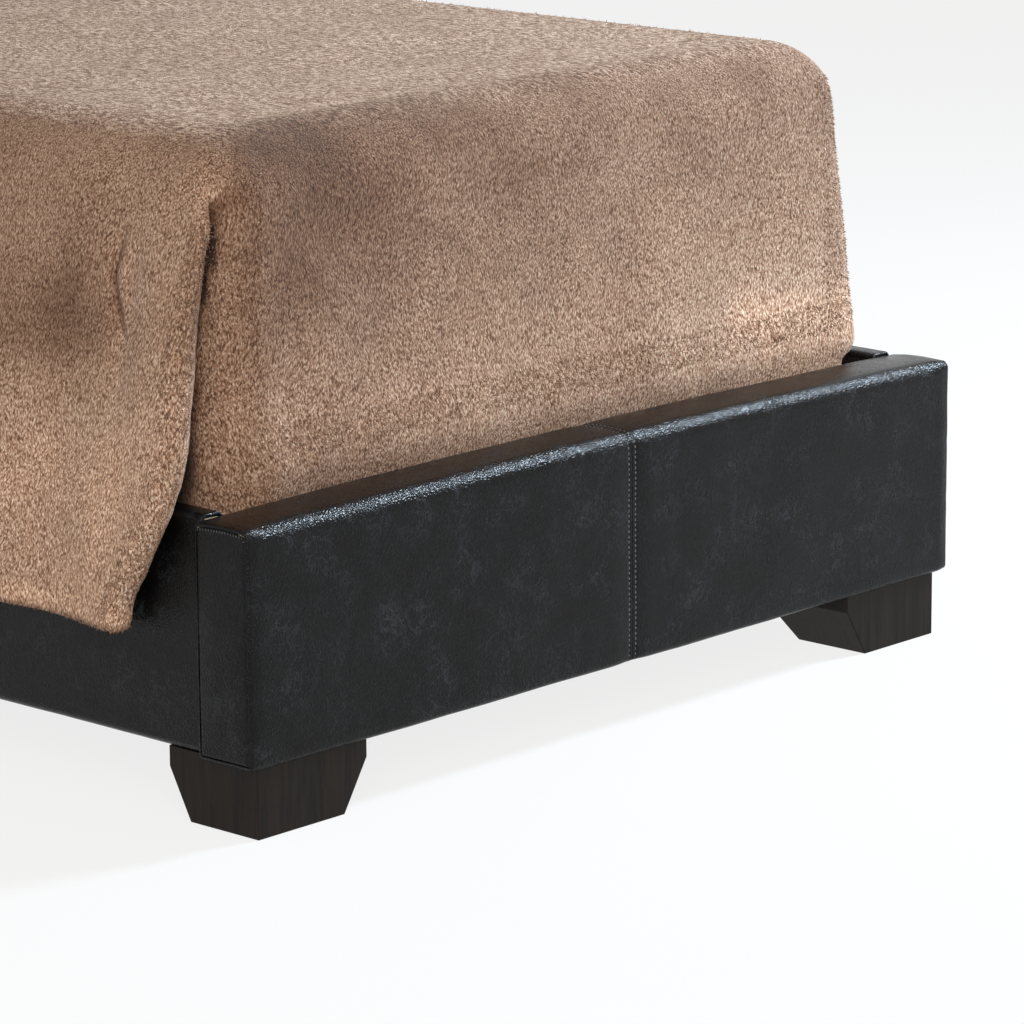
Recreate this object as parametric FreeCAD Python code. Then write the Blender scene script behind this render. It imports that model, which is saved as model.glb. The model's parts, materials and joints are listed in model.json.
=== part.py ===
# A single upholstered panel bed: padded footboard and headboard in black faux leather, two padded
# side rails, tapered block feet, slats on ledgers with three adjustable centre legs, a fabric
# covered foundation, a pillow-top mattress and a plush blanket that hangs outside the rails.
#
# Millimetres. +Z is up, +Y runs from the footboard to the headboard, X is across the bed.
# The origin is on the floor, in the middle of the bed.
import FreeCAD
import Part
import math
import os

V = FreeCAD.Vector

# The mattress, which sets the size of the bed
mattress_width = 990.0
mattress_length = 1905.0
mattress_height = 250.0
mattress_side_gap = 32.0    # to each rail
mattress_front_gap = 26.0   # to the footboard
mattress_rear_gap = 14.0    # to the headboard

# Overall heights
panel_base = 77.0           # floor to the underside of the upholstered boards
foot_height = 247.0         # height of the upholstered footboard
head_height = 1113.0        # height of the upholstered headboard
board_thick = 78.0          # footboard and headboard, over the leather

# Upholstery of the two boards
leather = 1.2               # faux leather
skin_gap = 0.3              # slack between the leather and what it covers
crown = 6.0                 # rise of the padded top at mid width
top_swell = 3.0             # rise of the padded top between its front and back edges
front_radius = 17.0         # padded edge between front and top
edge_radius = 5.0           # the other long edges
front_foam = 12.0
top_foam = 10.0
end_foam = 4.0
hem = 22.0                  # leather turned in round the open underside
back_hem = 40.0             # leather turned in round the headboard's back cloth

# Wooden frame inside each board
sheet_thick = 4.0           # hardboard on the frame
bottom_rail_height = 40.0
top_rail_height = 30.0
middle_rail_height = 40.0   # headboard only
stile_width = 90.0
mid_stile_width = 60.0

# Tapered block feet
foot_width = 159.0          # along X, at the top
foot_depth = 130.0          # along Y, at the top
foot_side_inset = 15.0      # from the board's end
foot_front_inset = 8.0      # from the board's outer face
foot_lip = 22.0             # upright part above the tapers
foot_taper_x = 34.0         # how far the inner side draws in
foot_taper_y = 30.0         # how far the rear side draws in
foot_edge = 1.5             # eased edges

# Side rails
rail_inset = 10.0           # outer face, in from the ends of the boards
rail_base = 78.0            # floor to the rail's underside
rail_height = 252.0
rail_thick = 33.0
rail_radius = 9.0
rail_foam = 6.0
rail_slot = 12.0            # open strip between the leather's edges under the rail

# Ledgers and slats
ledger_base = 181.0         # floor to the ledger's underside
ledger_height = 40.0
ledger_thick = 25.0
ledger_setback = 70.0       # from each board
slat_count = 5
slat_width = 75.0
slat_thick = 19.0
slat_end_gap = 3.0          # to each rail
slat_setback = 90.0         # first slat's centre from the ledger's end

# Centre legs and their levellers
leg_side = 45.0
leg_base = 32.0             # floor to the leg's underside
leg_slats = (2, 3, 4)       # slats that stand on a leg, counted from the foot
leveller_radius = 4.0
leveller_reach = 50.0       # stem inside the leg
leveller_spare = 15.0       # bore above the stem
hex_across = 13.0
hex_height = 6.0
hex_gap = 12.0              # leg's underside to the hexagon, at rest
pad_radius = 22.0
pad_height = 12.0
pad_lift = 0.5              # the pads hang just clear of the floor until screwed down
pad_floor = 3.5             # plastic under the stem's end
leg_nut_radius = 7.0
leg_nut_flange_radius = 11.0
leg_nut_flange = 1.6
leg_nut_length = 18.0

# Corner brackets, bolts and screws
bracket_leg = 50.0
bracket_thick = 3.0
bracket_height = 120.0
bracket_base = 105.0        # floor to the bracket's lower edge
bracket_hole_share = 0.25   # holes, in from each end of the bracket's height
bolt_radius = 4.0
bolt_head_radius = 8.0
bolt_head_height = 4.5
insert_radius = 6.0
insert_length = 20.0
screw_radius = 2.2
screw_head_radius = 4.4
screw_head_height = 2.8
ledger_screw_length = 42.0
slat_screw_length = 38.0
leg_screw_length = 60.0
ledger_screw_count = 6
leg_screw_offset = 14.0
foot_bolt_length = 58.0
foot_bolt_in_wood = 18.0    # of it, up inside the board's bottom rail
hardware_gap = 0.1          # all round a bolt, screw or insert
running_gap = 0.08          # round a leveller's stem, where it turns

# Foundation
foundation_height = 200.0
foundation_side_inset = 10.0    # in from the mattress's sides
foundation_front_inset = 2.0    # in from its foot end
foundation_rear_inset = 18.0    # in from its head end
foundation_cover = 2.0
foundation_corner = 50.0    # upright corners
foundation_radius = 10.0    # top edge
foundation_board = 25.0     # sides of the wooden frame
foundation_slat_width = 70.0
foundation_slat_thick = 18.0
foundation_slat_count = 9
foundation_pad = 6.0
cloth = 0.8                 # dust cloths

# Mattress layers
mattress_radius = 67.0      # corners and pillow-top edge
mattress_border = 8.0
mattress_base_sheet = 4.0
pillow_top = 75.0
comfort_foam = 40.0

# Blanket
blanket_thick = 12.0
blanket_gap = 0.5           # over the mattress
blanket_uncovered = 78.0    # of the mattress, at the head end
tuck_depth = 172.0          # hidden below the mattress's underside, behind the footboard
tuck_return = 170.0         # tucked part that goes round each corner
drape_skin = 0.5            # how far the drape's faces lie inside the top's own at their join
drape_setback_left = 10.0   # drape's front edge, behind the blanket's foot face
drape_setback_right = 70.0
drape_flare_min = 12.5      # degrees from upright
drape_flare_max = 15.0
drape_run = 318.0           # sloping part, from the mattress's edge to below the rail's top
drape_bend = 220.0          # radius where it turns down beside the rail
drape_drop = 90.0           # upright part below the bend
drape_start = 30.0          # degrees round the top edge where the drape leaves the top
fold_count = 6              # folds along each hanging side
fold_stations = 4           # sections in one fold
hem_cut_height = 95.0       # front corner of the hem, cut on a slant
hem_cut_depth = 60.0

# Shared construction values
overrun = 5.0               # how far cutting tools pass through
edge_find = 0.1             # how near to a height an edge must lie to be picked
board_stations = (-1.0, -0.5, 0.0, 0.5, 1.0)

# Places worked out from the sizes above
rail_inner = mattress_width / 2 + mattress_side_gap
rail_outer = rail_inner + rail_thick
half_width = rail_outer + rail_inset
bed_width = 2 * half_width
rail_length = mattress_front_gap + mattress_length + mattress_rear_gap
bed_length = board_thick + rail_length + board_thick
foot_y = -bed_length / 2
foot_back = foot_y + board_thick
head_y = foot_back + rail_length
ledger_inner = rail_inner - ledger_thick
ledger_top = ledger_base + ledger_height
slat_top = ledger_top + slat_thick
frame_front = leather + skin_gap + front_foam + sheet_thick
frame_back = leather + skin_gap + sheet_thick
frame_half = half_width - leather - skin_gap - end_foam
frame_base = panel_base + leather + skin_gap
foundation_top = slat_top + foundation_height
mattress_y = foot_back + mattress_front_gap
mattress_top = foundation_top + mattress_height
bracket_holes = (bracket_height * bracket_hole_share, bracket_height * (1 - bracket_hole_share))


def box(x0, x1, y0, y1, z0, z1):
    """Block between two corners."""
    return Part.makeBox(x1 - x0, y1 - y0, z1 - z0, V(x0, y0, z0))


def rod(radius, start, direction, length):
    """Round bar from a point along a direction."""
    return Part.makeCylinder(radius, length, start, direction)


def mirrored(shape):
    """The same piece on the other side of the bed."""
    return shape.mirror(V(0, 0, 0), V(1, 0, 0))


def upright_edges(shape):
    """Edges that run along Z."""
    return [e for e in shape.Edges if e.BoundBox.ZLength > max(e.BoundBox.XLength, e.BoundBox.YLength)]


def edges_at_height(shape, z):
    """Edges that lie level at a height."""
    return [e for e in shape.Edges
            if abs(e.BoundBox.ZMin - z) < edge_find and abs(e.BoundBox.ZMax - z) < edge_find]


def soft_block(x0, x1, y0, y1, z0, z1, radius):
    """Block with every edge rounded."""
    block = box(x0, x1, y0, y1, z0, z1)
    return block.makeFillet(radius, block.Edges)


def upright_block(x, y0, y1, z0, z1, radius):
    """Block with rounded upright corners."""
    block = box(-x, x, y0, y1, z0, z1)
    return block.makeFillet(radius, upright_edges(block))


def save(name, *solids):
    """Writes one node, which may hold several separate solids."""
    shape = solids[0] if len(solids) == 1 else Part.makeCompound(list(solids))
    shape.exportStep(os.path.join("parts", name + ".step"))


def cut_all(shape, tools):
    """The shape less every tool."""
    return shape.cut(tools) if tools else shape


# Fasteners. Each function gives the piece, and its hole when grown by a gap.
def screw(head, direction, length, grow=0.0):
    """Countersunk wood screw whose head is flush at a point."""
    shank = rod(screw_radius + grow, head, direction, length + grow)
    return shank.fuse(rod(screw_head_radius + grow, head, direction, screw_head_height + grow)).removeSplitter()


def screw_hole(head, direction, length):
    """Hole for a screw, open at its head."""
    start = head - direction * overrun
    opening = rod(screw_head_radius + hardware_gap, start, direction, overrun)
    return screw(head, direction, length, hardware_gap).fuse(opening)


def bolt(seat, direction, length):
    """Button-head bolt whose head stands on a seat, with its shank along the direction."""
    head = rod(bolt_head_radius, seat - direction * bolt_head_height, direction, bolt_head_height)
    return head.fuse(rod(bolt_radius, seat, direction, length)).removeSplitter()


def insert_nut(mouth, direction):
    """Threaded sleeve sunk in wood from its mouth."""
    body = rod(insert_radius, mouth, direction, insert_length)
    bore = rod(bolt_radius + hardware_gap, mouth - direction * overrun, direction, insert_length + 2 * overrun)
    return body.cut(bore)


def insert_hole(mouth, direction, bolt_past):
    """Pocket in wood for an insert, and for the bolt beyond it."""
    pocket = rod(insert_radius + hardware_gap, mouth - direction * overrun, direction, insert_length + overrun)
    return pocket.fuse(rod(bolt_radius + hardware_gap, mouth, direction, insert_length + bolt_past))


# Upholstered boards
def board_section(x, y, height, rise, inset):
    """Closed outline of a padded board in the YZ plane, drawn in by an inset."""
    front, back = y + inset, y + board_thick - inset
    base, top = panel_base + inset, panel_base + height + rise - inset
    big, small = front_radius - inset, edge_radius - inset
    slant = 1 - math.cos(math.radians(45))

    def at(py, pz):
        return V(x, py, pz)

    points = [
        at(front, base + small), at(front, top - big), at(front + big, top), at(back - small, top),
        at(back, top - small), at(back, base + small), at(back - small, base), at(front + small, base)]
    bends = {
        1: at(front + big * slant, top - big * slant),
        2: at((front + big + back - small) / 2, top + top_swell),
        3: at(back - small * slant, top - small * slant),
        5: at(back - small * slant, base + small * slant),
        7: at(front + small * slant, base + small * slant)}
    edges = []
    for i, start in enumerate(points):
        end = points[(i + 1) % len(points)]
        curve = Part.Arc(start, bends[i], end) if i in bends else Part.LineSegment(start, end)
        edges.append(curve.toShape())
    return Part.Wire(edges)


def board_body(y, height, half, inset):
    """Crowned solid of a padded board, lofted across the bed."""
    wires = [board_section(s * half, y, height, crown * (1 - s * s), inset) for s in board_stations]
    return Part.makeLoft(wires, True, False)


class Board:
    """The footboard or headboard: frame, sheets, foam and leather, with the holes its bolts need."""

    def __init__(self, name, y, height, cross_rails, cloth_back):
        self.name, self.y, self.height = name, y, height
        self.cross_rails, self.cloth_back = cross_rails, cloth_back
        self.front = y + frame_front
        self.back = y + board_thick - (leather + skin_gap if cloth_back else frame_back)
        self.top = panel_base + height - leather - skin_gap - top_foam
        self.wood_holes, self.skin_holes = [], []

    def frame(self):
        """Rails across the board and the stiles that stand between them."""
        rails = [(frame_base, bottom_rail_height), (self.top - top_rail_height, top_rail_height)]
        for i in range(self.cross_rails):
            middle = frame_base + (self.top - frame_base) * (i + 1) / (self.cross_rails + 1)
            rails.append((middle - middle_rail_height / 2, middle_rail_height))
        rails.sort()
        beams = [box(-frame_half, frame_half, self.front, self.back, z, z + h) for z, h in rails]
        rounded = [e for e in edges_at_height(beams[0], frame_base) if e.BoundBox.XLength > frame_half]
        beams[0] = beams[0].makeFillet(edge_radius, rounded)
        posts = []
        for (low, low_height), (high, _) in zip(rails, rails[1:]):
            for x0, x1 in (
                    (-frame_half, -frame_half + stile_width),
                    (-mid_stile_width / 2, mid_stile_width / 2),
                    (frame_half - stile_width, frame_half)):
                posts.append(box(x0, x1, self.front, self.back, low + low_height, high))
        save(self.name + "_frame_rails", *[cut_all(b, self.wood_holes) for b in beams])
        save(self.name + "_frame_stiles", *[cut_all(p, self.wood_holes) for p in posts])

    def sheets(self):
        """Hardboard on the frame, and a back cloth where there is no back sheet."""
        face = box(-frame_half, frame_half, self.front - sheet_thick, self.front, frame_base, self.top)
        save(self.name + "_face_board", cut_all(face, self.wood_holes))
        if self.cloth_back:
            outer = self.y + board_thick
            edge = back_hem + cloth
            sheet = box(-half_width + edge, half_width - edge, outer - leather, outer - leather + cloth,
                        panel_base + edge, panel_base + self.height - edge)
            save(self.name + "_back_cloth", sheet)
        else:
            back = box(-frame_half, frame_half, self.back, self.back + sheet_thick,
                       frame_base + edge_radius, self.top)
            save(self.name + "_back_board", cut_all(back, self.wood_holes))

    def foam(self):
        """One pad that wraps the front, the top and the ends of the frame."""
        inset = leather + skin_gap
        pad = board_body(self.y, self.height, half_width - inset, inset)
        space = box(-frame_half, frame_half, self.front - sheet_thick, self.y + 2 * board_thick,
                    panel_base - overrun, self.top)
        save(self.name + "_foam", cut_all(pad.cut(space), self.skin_holes))

    def cover(self):
        """Leather: two wrapped halves that meet in the middle seam, and two end caps."""
        outer = board_body(self.y, self.height, half_width, 0.0)
        inner = board_body(self.y, self.height, half_width, leather)
        low, high = panel_base - overrun, panel_base + self.height + crown + top_swell + overrun
        near, far = self.y - overrun, self.y + board_thick + overrun
        seam = half_width - leather
        tube = outer.cut(inner)
        window = box(-half_width + hem, half_width - hem, self.y + hem, self.y + board_thick - hem,
                     low, panel_base + leather + skin_gap)
        tube = tube.cut(window)
        if self.cloth_back:
            tube = tube.cut(box(-half_width + back_hem, half_width - back_hem,
                                self.y + board_thick - leather - skin_gap, far,
                                panel_base + back_hem, panel_base + self.height - back_hem))
        tube = cut_all(tube, self.skin_holes)
        left = tube.common(box(-seam, 0, near, far, low, high))
        save(self.name + "_cover_left", left)
        save(self.name + "_cover_right", tube.common(box(0, seam, near, far, low, high)))
        cap = outer.common(box(-half_width, -seam, near, far, low, high))
        save(self.name + "_end_caps", cap, mirrored(cap))

    def build(self):
        self.frame()
        self.sheets()
        self.foam()
        self.cover()


def foot_block(y_outer, inward):
    """Left foot: upright outer faces, with the two inner faces tapered below a lip. Its outer face
    is at y_outer and it runs inward (1 or -1) along Y."""
    x0 = -half_width + foot_side_inset
    y0 = y_outer + inward * foot_front_inset
    taper_top = panel_base - foot_lip

    def outline(width, depth, z):
        ys = (y0, y0 + inward * depth)
        corners = [V(x0, ys[0], z), V(x0 + width, ys[0], z), V(x0 + width, ys[1], z), V(x0, ys[1], z)]
        return Part.makePolygon(corners + corners[:1])

    lower = Part.makeLoft([
        outline(foot_width - foot_taper_x, foot_depth - foot_taper_y, 0),
        outline(foot_width, foot_depth, taper_top)], True, True)
    y_low, y_high = sorted((y0, y0 + inward * foot_depth))
    lip = box(x0, x0 + foot_width, y_low, y_high, taper_top, panel_base)
    block = lower.fuse(lip).removeSplitter()
    return block.makeFillet(foot_edge, [e for e in block.Edges if e.BoundBox.ZMin < panel_base - edge_find])


def feet(boards):
    """Four feet, each on a hanger bolt that goes up into an insert in its board's bottom rail."""
    up = V(0, 0, 1)
    bolts, nuts = [], []
    for board, end, inward in ((boards[0], "front", 1), (boards[1], "rear", -1)):
        outer = board.y if inward > 0 else board.y + board_thick
        y = (board.front + board.back) / 2
        x = -half_width + foot_side_inset + foot_width / 2
        in_foot = foot_bolt_length - foot_bolt_in_wood - (frame_base - panel_base)
        start = V(x, y, panel_base - in_foot)
        hole = rod(bolt_radius + hardware_gap, start - up * hardware_gap, up, in_foot + overrun)
        block = foot_block(outer, inward).cut(hole)
        save("foot_block_" + end + "_left", block)
        save("foot_block_" + end + "_right", mirrored(block))
        stud = rod(bolt_radius, start, up, foot_bolt_length)
        mouth = V(x, y, frame_base)
        nut = insert_nut(mouth, up)
        pocket = insert_hole(mouth, up, hardware_gap)
        bolts += [stud, mirrored(stud)]
        nuts += [nut, mirrored(nut)]
        board.wood_holes += [pocket, mirrored(pocket)]
        passage = rod(insert_radius, V(x, y, panel_base - overrun), up, frame_base - panel_base + overrun)
        board.skin_holes += [passage, mirrored(passage)]
    save("foot_bolts", *bolts)
    return nuts


def brackets(boards, foot_nuts):
    """An angle bracket in each corner, two bolts into the board and two into the rail."""
    plates, bolts, nuts = [], [], []
    rail_holes, rail_skin_holes = [], []
    outward = V(-1, 0, 0)
    top = bracket_base + bracket_height
    for board, away, depth in (
            (boards[0], 1, frame_back), (boards[1], -1, frame_front)):
        face = board.y + board_thick if away > 0 else board.y
        near, far = sorted((face, face + away * bracket_thick))
        plate = box(-rail_inner, -rail_inner + bracket_leg, near, far, bracket_base, top)
        near, far = sorted((face, face + away * bracket_leg))
        plate = plate.fuse(box(-rail_inner, -rail_inner + bracket_thick, near, far, bracket_base, top))
        into = V(0, -away, 0)
        for hole in bracket_holes:
            z = bracket_base + hole
            seat = V(-rail_inner + bracket_leg / 2, face + away * bracket_thick, z)
            mouth = V(seat.x, face - away * depth, z)
            reach = bracket_thick + depth + insert_length
            bolts.append(bolt(seat, into, reach))
            nuts.append(insert_nut(mouth, into))
            board.wood_holes.append(insert_hole(mouth, into, hardware_gap))
            passage = rod(bolt_radius + hardware_gap, seat - into * overrun, into, reach + overrun)
            board.skin_holes.append(passage)
            board.wood_holes.append(passage)
            plate = plate.cut(passage)

            seat = V(-rail_inner + bracket_thick, face + away * bracket_leg / 2, z)
            mouth = V(-rail_inner - leather - skin_gap, seat.y, z)
            reach = bracket_thick + leather + skin_gap + insert_length
            bolts.append(bolt(seat, outward, reach))
            nuts.append(insert_nut(mouth, outward))
            rail_holes.append(insert_hole(mouth, outward, hardware_gap))
            passage = rod(bolt_radius + hardware_gap, seat - outward * overrun, outward, reach + overrun)
            rail_skin_holes.append(passage)
            plate = plate.cut(passage)
        plates.append(plate.removeSplitter())
        board.wood_holes += [mirrored(h) for h in board.wood_holes[-2 * len(bracket_holes):]]
        board.skin_holes += [mirrored(h) for h in board.skin_holes[-len(bracket_holes):]]
    save("corner_brackets", *plates, *map(mirrored, plates))
    save("bracket_bolts", *bolts, *map(mirrored, bolts))
    save("insert_nuts", *foot_nuts, *nuts, *map(mirrored, nuts))
    return rail_holes, rail_skin_holes


def ledger_and_rail(rail_holes, rail_skin_holes):
    """Each side rail's board, foam and leather, and the ledger screwed to its inner face."""
    outward = V(-1, 0, 0)
    y0, y1 = foot_back + ledger_setback, head_y - ledger_setback
    z = ledger_base + ledger_height / 2
    spacing = (y1 - y0) / ledger_screw_count
    heads = [V(-ledger_inner, y0 + spacing * (i + 0.5), z) for i in range(ledger_screw_count)]
    screws = [screw(h, outward, ledger_screw_length) for h in heads]
    holes = [screw_hole(h, outward, ledger_screw_length) for h in heads]

    def layer(inset):
        return soft_block(-rail_outer + inset, -rail_inner - inset, foot_back + inset, head_y - inset,
                          rail_base + inset, rail_base + rail_height - inset, rail_radius - inset)

    inset = leather + skin_gap
    core = layer(inset)
    wood = box(-rail_outer + inset + rail_foam, -rail_inner, foot_back + inset + rail_foam,
               head_y - inset - rail_foam, rail_base - overrun, rail_base + rail_height - inset - rail_foam)
    board = cut_all(core.common(wood), holes + rail_holes)
    foam = cut_all(core.cut(wood), rail_holes)
    middle = -(rail_outer + rail_inner) / 2
    slot = box(middle - rail_slot / 2, middle + rail_slot / 2, foot_back + hem, head_y - hem,
               rail_base - overrun, rail_base + leather + skin_gap)
    cover = cut_all(layer(0.0).cut(layer(leather)).cut(slot), holes + rail_skin_holes)
    ledger = box(-rail_inner, -ledger_inner, y0, y1, ledger_base, ledger_top)
    for side, turn in (("left", lambda s: s), ("right", mirrored)):
        save("rail_board_" + side, turn(board))
        save("rail_foam_" + side, turn(foam))
        save("rail_cover_" + side, turn(cover))
    save("ledger_screws", *screws, *map(mirrored, screws))
    return cut_all(ledger, holes)


def slats_and_legs(ledger):
    """Slats screwed down on the ledgers, three of them on a centre leg with a screw-in leveller."""
    down, up = V(0, 0, -1), V(0, 0, 1)
    first = foot_back + ledger_setback + slat_setback
    last = head_y - ledger_setback - slat_setback
    half = rail_inner - slat_end_gap
    screw_x = (rail_inner + ledger_inner) / 2
    bore_top = leg_base + leveller_reach + leveller_spare
    hex_low = leg_base - hex_gap - hex_height
    stem_low = pad_lift + pad_floor
    slat_screws, leg_screws, nuts = [], [], []
    for i in range(slat_count):
        y = first + (last - first) * i / (slat_count - 1)
        slat = box(-half, half, y - slat_width / 2, y + slat_width / 2, ledger_top, slat_top)
        side_heads = [V(s * screw_x, y, slat_top) for s in (-1, 1)]
        slat_screws += [screw(h, down, slat_screw_length) for h in side_heads]
        side_holes = [screw_hole(h, down, slat_screw_length) for h in side_heads]
        slat = slat.cut(side_holes)
        ledger = ledger.cut(side_holes[0])
        if i + 1 in leg_slats:
            number = str(leg_slats.index(i + 1) + 1)
            heads = [V(s * leg_screw_offset, y, slat_top) for s in (-1, 1)]
            leg_screws += [screw(h, down, leg_screw_length) for h in heads]
            holes = [screw_hole(h, down, leg_screw_length) for h in heads]
            slat = slat.cut(holes)
            leg = box(-leg_side / 2, leg_side / 2, y - leg_side / 2, y + leg_side / 2, leg_base, ledger_top)
            foot = V(0, y, leg_base)
            nut = rod(leg_nut_radius, foot, up, leg_nut_length)
            nut = nut.fuse(rod(leg_nut_flange_radius, foot, down, leg_nut_flange))
            pocket = rod(leg_nut_radius + hardware_gap, foot - up * overrun, up, leg_nut_length + overrun)
            bore = rod(leveller_radius + hardware_gap, foot - up * overrun, up,
                       bore_top - leg_base + overrun)
            nuts.append(nut.cut(bore).removeSplitter())
            save("centre_leg_" + number, cut_all(leg, holes + [pocket, bore]))
            stem = rod(leveller_radius, V(0, y, stem_low), up, leg_base + leveller_reach - stem_low)
            corner = hex_across / 2 / math.cos(math.radians(30))
            turns = [math.radians(60 * k) for k in range(7)]
            ring = [V(corner * math.cos(a), y + corner * math.sin(a), hex_low) for a in turns]
            hexagon = Part.Face(Part.makePolygon(ring)).extrude(up * hex_height)
            save("leveller_stem_" + number, stem.fuse(hexagon).removeSplitter())
            pad = rod(pad_radius, V(0, y, pad_lift), up, pad_height)
            socket = rod(leveller_radius + running_gap, V(0, y, stem_low - running_gap), up, pad_height)
            save("leveller_pad_" + number, pad.cut(socket))
        save("slat_" + str(i + 1), slat)
    save("ledger_left", ledger)
    save("ledger_right", mirrored(ledger))
    save("slat_screws", *slat_screws)
    save("leg_screws", *leg_screws)
    save("leg_insert_nuts", *nuts)


def foundation():
    """Slatted wooden foundation in a fabric cover that is open below, closed by a dust cloth."""
    half = mattress_width / 2 - foundation_side_inset
    y0 = mattress_y + foundation_front_inset
    y1 = mattress_y + mattress_length - foundation_rear_inset
    low, high = slat_top, foundation_top

    def shell(inset, base):
        block = upright_block(half - inset, y0 + inset, y1 - inset, base, high - inset,
                              foundation_corner - inset)
        return block.makeFillet(foundation_radius - inset, edges_at_height(block, high - inset))

    cover = shell(0.0, low).cut(shell(foundation_cover, low - overrun))
    inset = foundation_cover + skin_gap
    x, near, far = half - inset, y0 + inset, y1 - inset
    wood_low = low + cloth
    pad_low = high - inset - foundation_pad
    slat_low = pad_low - foundation_slat_thick
    core = shell(inset, low - overrun)
    pieces = [
        box(-x, -x + foundation_board, near, far, wood_low, slat_low),
        box(x - foundation_board, x, near, far, wood_low, slat_low),
        box(-x + foundation_board, x - foundation_board, near, near + foundation_board, wood_low, slat_low),
        box(-x + foundation_board, x - foundation_board, far - foundation_board, far, wood_low, slat_low)]
    span = (far - near - foundation_slat_width) / (foundation_slat_count - 1)
    for i in range(foundation_slat_count):
        y = near + span * i
        pieces.append(box(-x, x, y, y + foundation_slat_width, slat_low, pad_low))
    save("foundation_frame", *[core.common(p) for p in pieces])
    save("foundation_pad", core.common(box(-x, x, near, far, pad_low, high)))
    save("foundation_cover", cover)
    dust = core.common(box(-x, x, near, far, low, low + cloth))
    save("foundation_dust_cloth", dust)


def mattress():
    """Two foams inside a quilted border, with a base sheet below and a pillow top above."""
    half = mattress_width / 2
    y0, y1 = mattress_y, mattress_y + mattress_length
    low = foundation_top
    base = low + mattress_base_sheet
    pillow = mattress_top - pillow_top
    comfort = pillow - comfort_foam
    wall, radius = mattress_border, mattress_radius
    ring = upright_block(half, y0, y1, base, pillow, radius)
    inner = (half - wall, y0 + wall, y1 - wall)
    save("mattress_border", ring.cut(upright_block(*inner, base - overrun, pillow + overrun, radius - wall)))
    gap = skin_gap
    core = (half - wall - gap, y0 + wall + gap, y1 - wall - gap)
    save("mattress_base_foam", upright_block(*core, base, comfort, radius - wall - gap))
    save("mattress_comfort_foam", upright_block(*core, comfort, pillow, radius - wall - gap))
    save("mattress_base_sheet", upright_block(half, y0, y1, low, base, radius))
    top = box(-half, half, y0, y1, pillow, mattress_top)
    save("mattress_pillow_top", top.makeFillet(radius, upright_edges(top) + edges_at_height(top, mattress_top)))


def drape_section(y, flare, corner_x, corner_z):
    """Closed XZ outline of the hanging side at a place along the bed, for a slope in degrees."""
    outer = mattress_radius + blanket_gap + blanket_thick - drape_skin
    thick = blanket_thick - 2 * drape_skin
    slope = math.radians(90 - flare)
    start = math.radians(drape_start)

    def path(offset):
        radius = outer - offset

        def round_edge(angle):
            return V(corner_x + radius * math.sin(angle), y, corner_z + radius * math.cos(angle))

        a, b = round_edge(start), round_edge(slope)
        c = b + V(math.cos(slope), 0, -math.sin(slope)) * drape_run
        bend = drape_bend - offset
        turn = math.radians(flare)
        centre = c - V(math.sin(slope), 0, math.cos(slope)) * bend
        half_turn = slope + turn / 2
        middle = centre + V(math.sin(half_turn), 0, math.cos(half_turn)) * bend
        d = centre + V(bend, 0, 0)
        e = d - V(0, 0, drape_drop)
        return a, round_edge((start + slope) / 2), b, c, middle, d, e

    a, ab, b, c, cd, d, e = path(0.0)
    p, pq, q, r, rs, s, t = path(thick)
    curves = [
        Part.Arc(a, ab, b), Part.LineSegment(b, c), Part.Arc(c, cd, d), Part.LineSegment(d, e),
        Part.LineSegment(e, t), Part.LineSegment(t, s), Part.Arc(s, rs, r), Part.LineSegment(r, q),
        Part.Arc(q, pq, p), Part.LineSegment(p, a)]
    return Part.Wire([c.toShape() for c in curves])


def blanket():
    """Top sheet, foot face tucked behind the footboard, short returns at the corners, and a
    folded drape on each side that hangs outside the rail."""
    half = mattress_width / 2 + blanket_gap
    y0 = mattress_y - blanket_gap
    end = mattress_y + mattress_length - blanket_uncovered
    low = foundation_top - tuck_depth
    high = mattress_top + blanket_gap
    inner_radius = mattress_radius + blanket_gap

    def cap(grow):
        block = box(-half - grow, half + grow, y0 - grow, end + 2 * overrun + blanket_thick,
                    low - overrun, high + grow)
        far = end + 2 * overrun
        edges = [e for e in upright_edges(block) + edges_at_height(block, high + grow)
                 if e.BoundBox.YMin < far]
        return block.makeFillet(inner_radius + grow, edges)

    shell = cap(blanket_thick).cut(cap(0.0))
    outer = half + blanket_thick
    front = y0 - blanket_thick
    shell = shell.common(box(-outer, outer, front - overrun, end, low, high + blanket_thick))
    spring = high - inner_radius
    for x0, x1 in ((-outer - overrun, -half + inner_radius), (half - inner_radius, outer + overrun)):
        shell = shell.cut(box(x0, x1, front + tuck_return, end + overrun, low - overrun, spring))

    def drape(setback):
        """Hanging side, with soft folds along it and the front corner of its hem cut on a slant."""
        start = front + setback
        steps = fold_count * fold_stations
        wires = []
        for i in range(steps + 1):
            wave = 0.5 + 0.5 * math.sin(2 * math.pi * i / fold_stations)
            flare = drape_flare_min + (drape_flare_max - drape_flare_min) * wave
            wires.append(drape_section(start + (end - start) * i / steps, flare, half - inner_radius, spring))
        cloth_side = Part.makeLoft(wires, True, False)
        hem_z = cloth_side.BoundBox.ZMin
        corner = [
            V(0, start - overrun, hem_z + hem_cut_height), V(0, start, hem_z + hem_cut_height),
            V(0, start + hem_cut_depth, hem_z), V(0, start + hem_cut_depth, hem_z - overrun),
            V(0, start - overrun, hem_z - overrun)]
        return cloth_side.cut(Part.Face(Part.makePolygon(corner + corner[:1])).extrude(V(bed_width, 0, 0)))

    whole = shell.fuse([mirrored(drape(drape_setback_left)), drape(drape_setback_right)])
    save("blanket", *whole.Solids)


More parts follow.
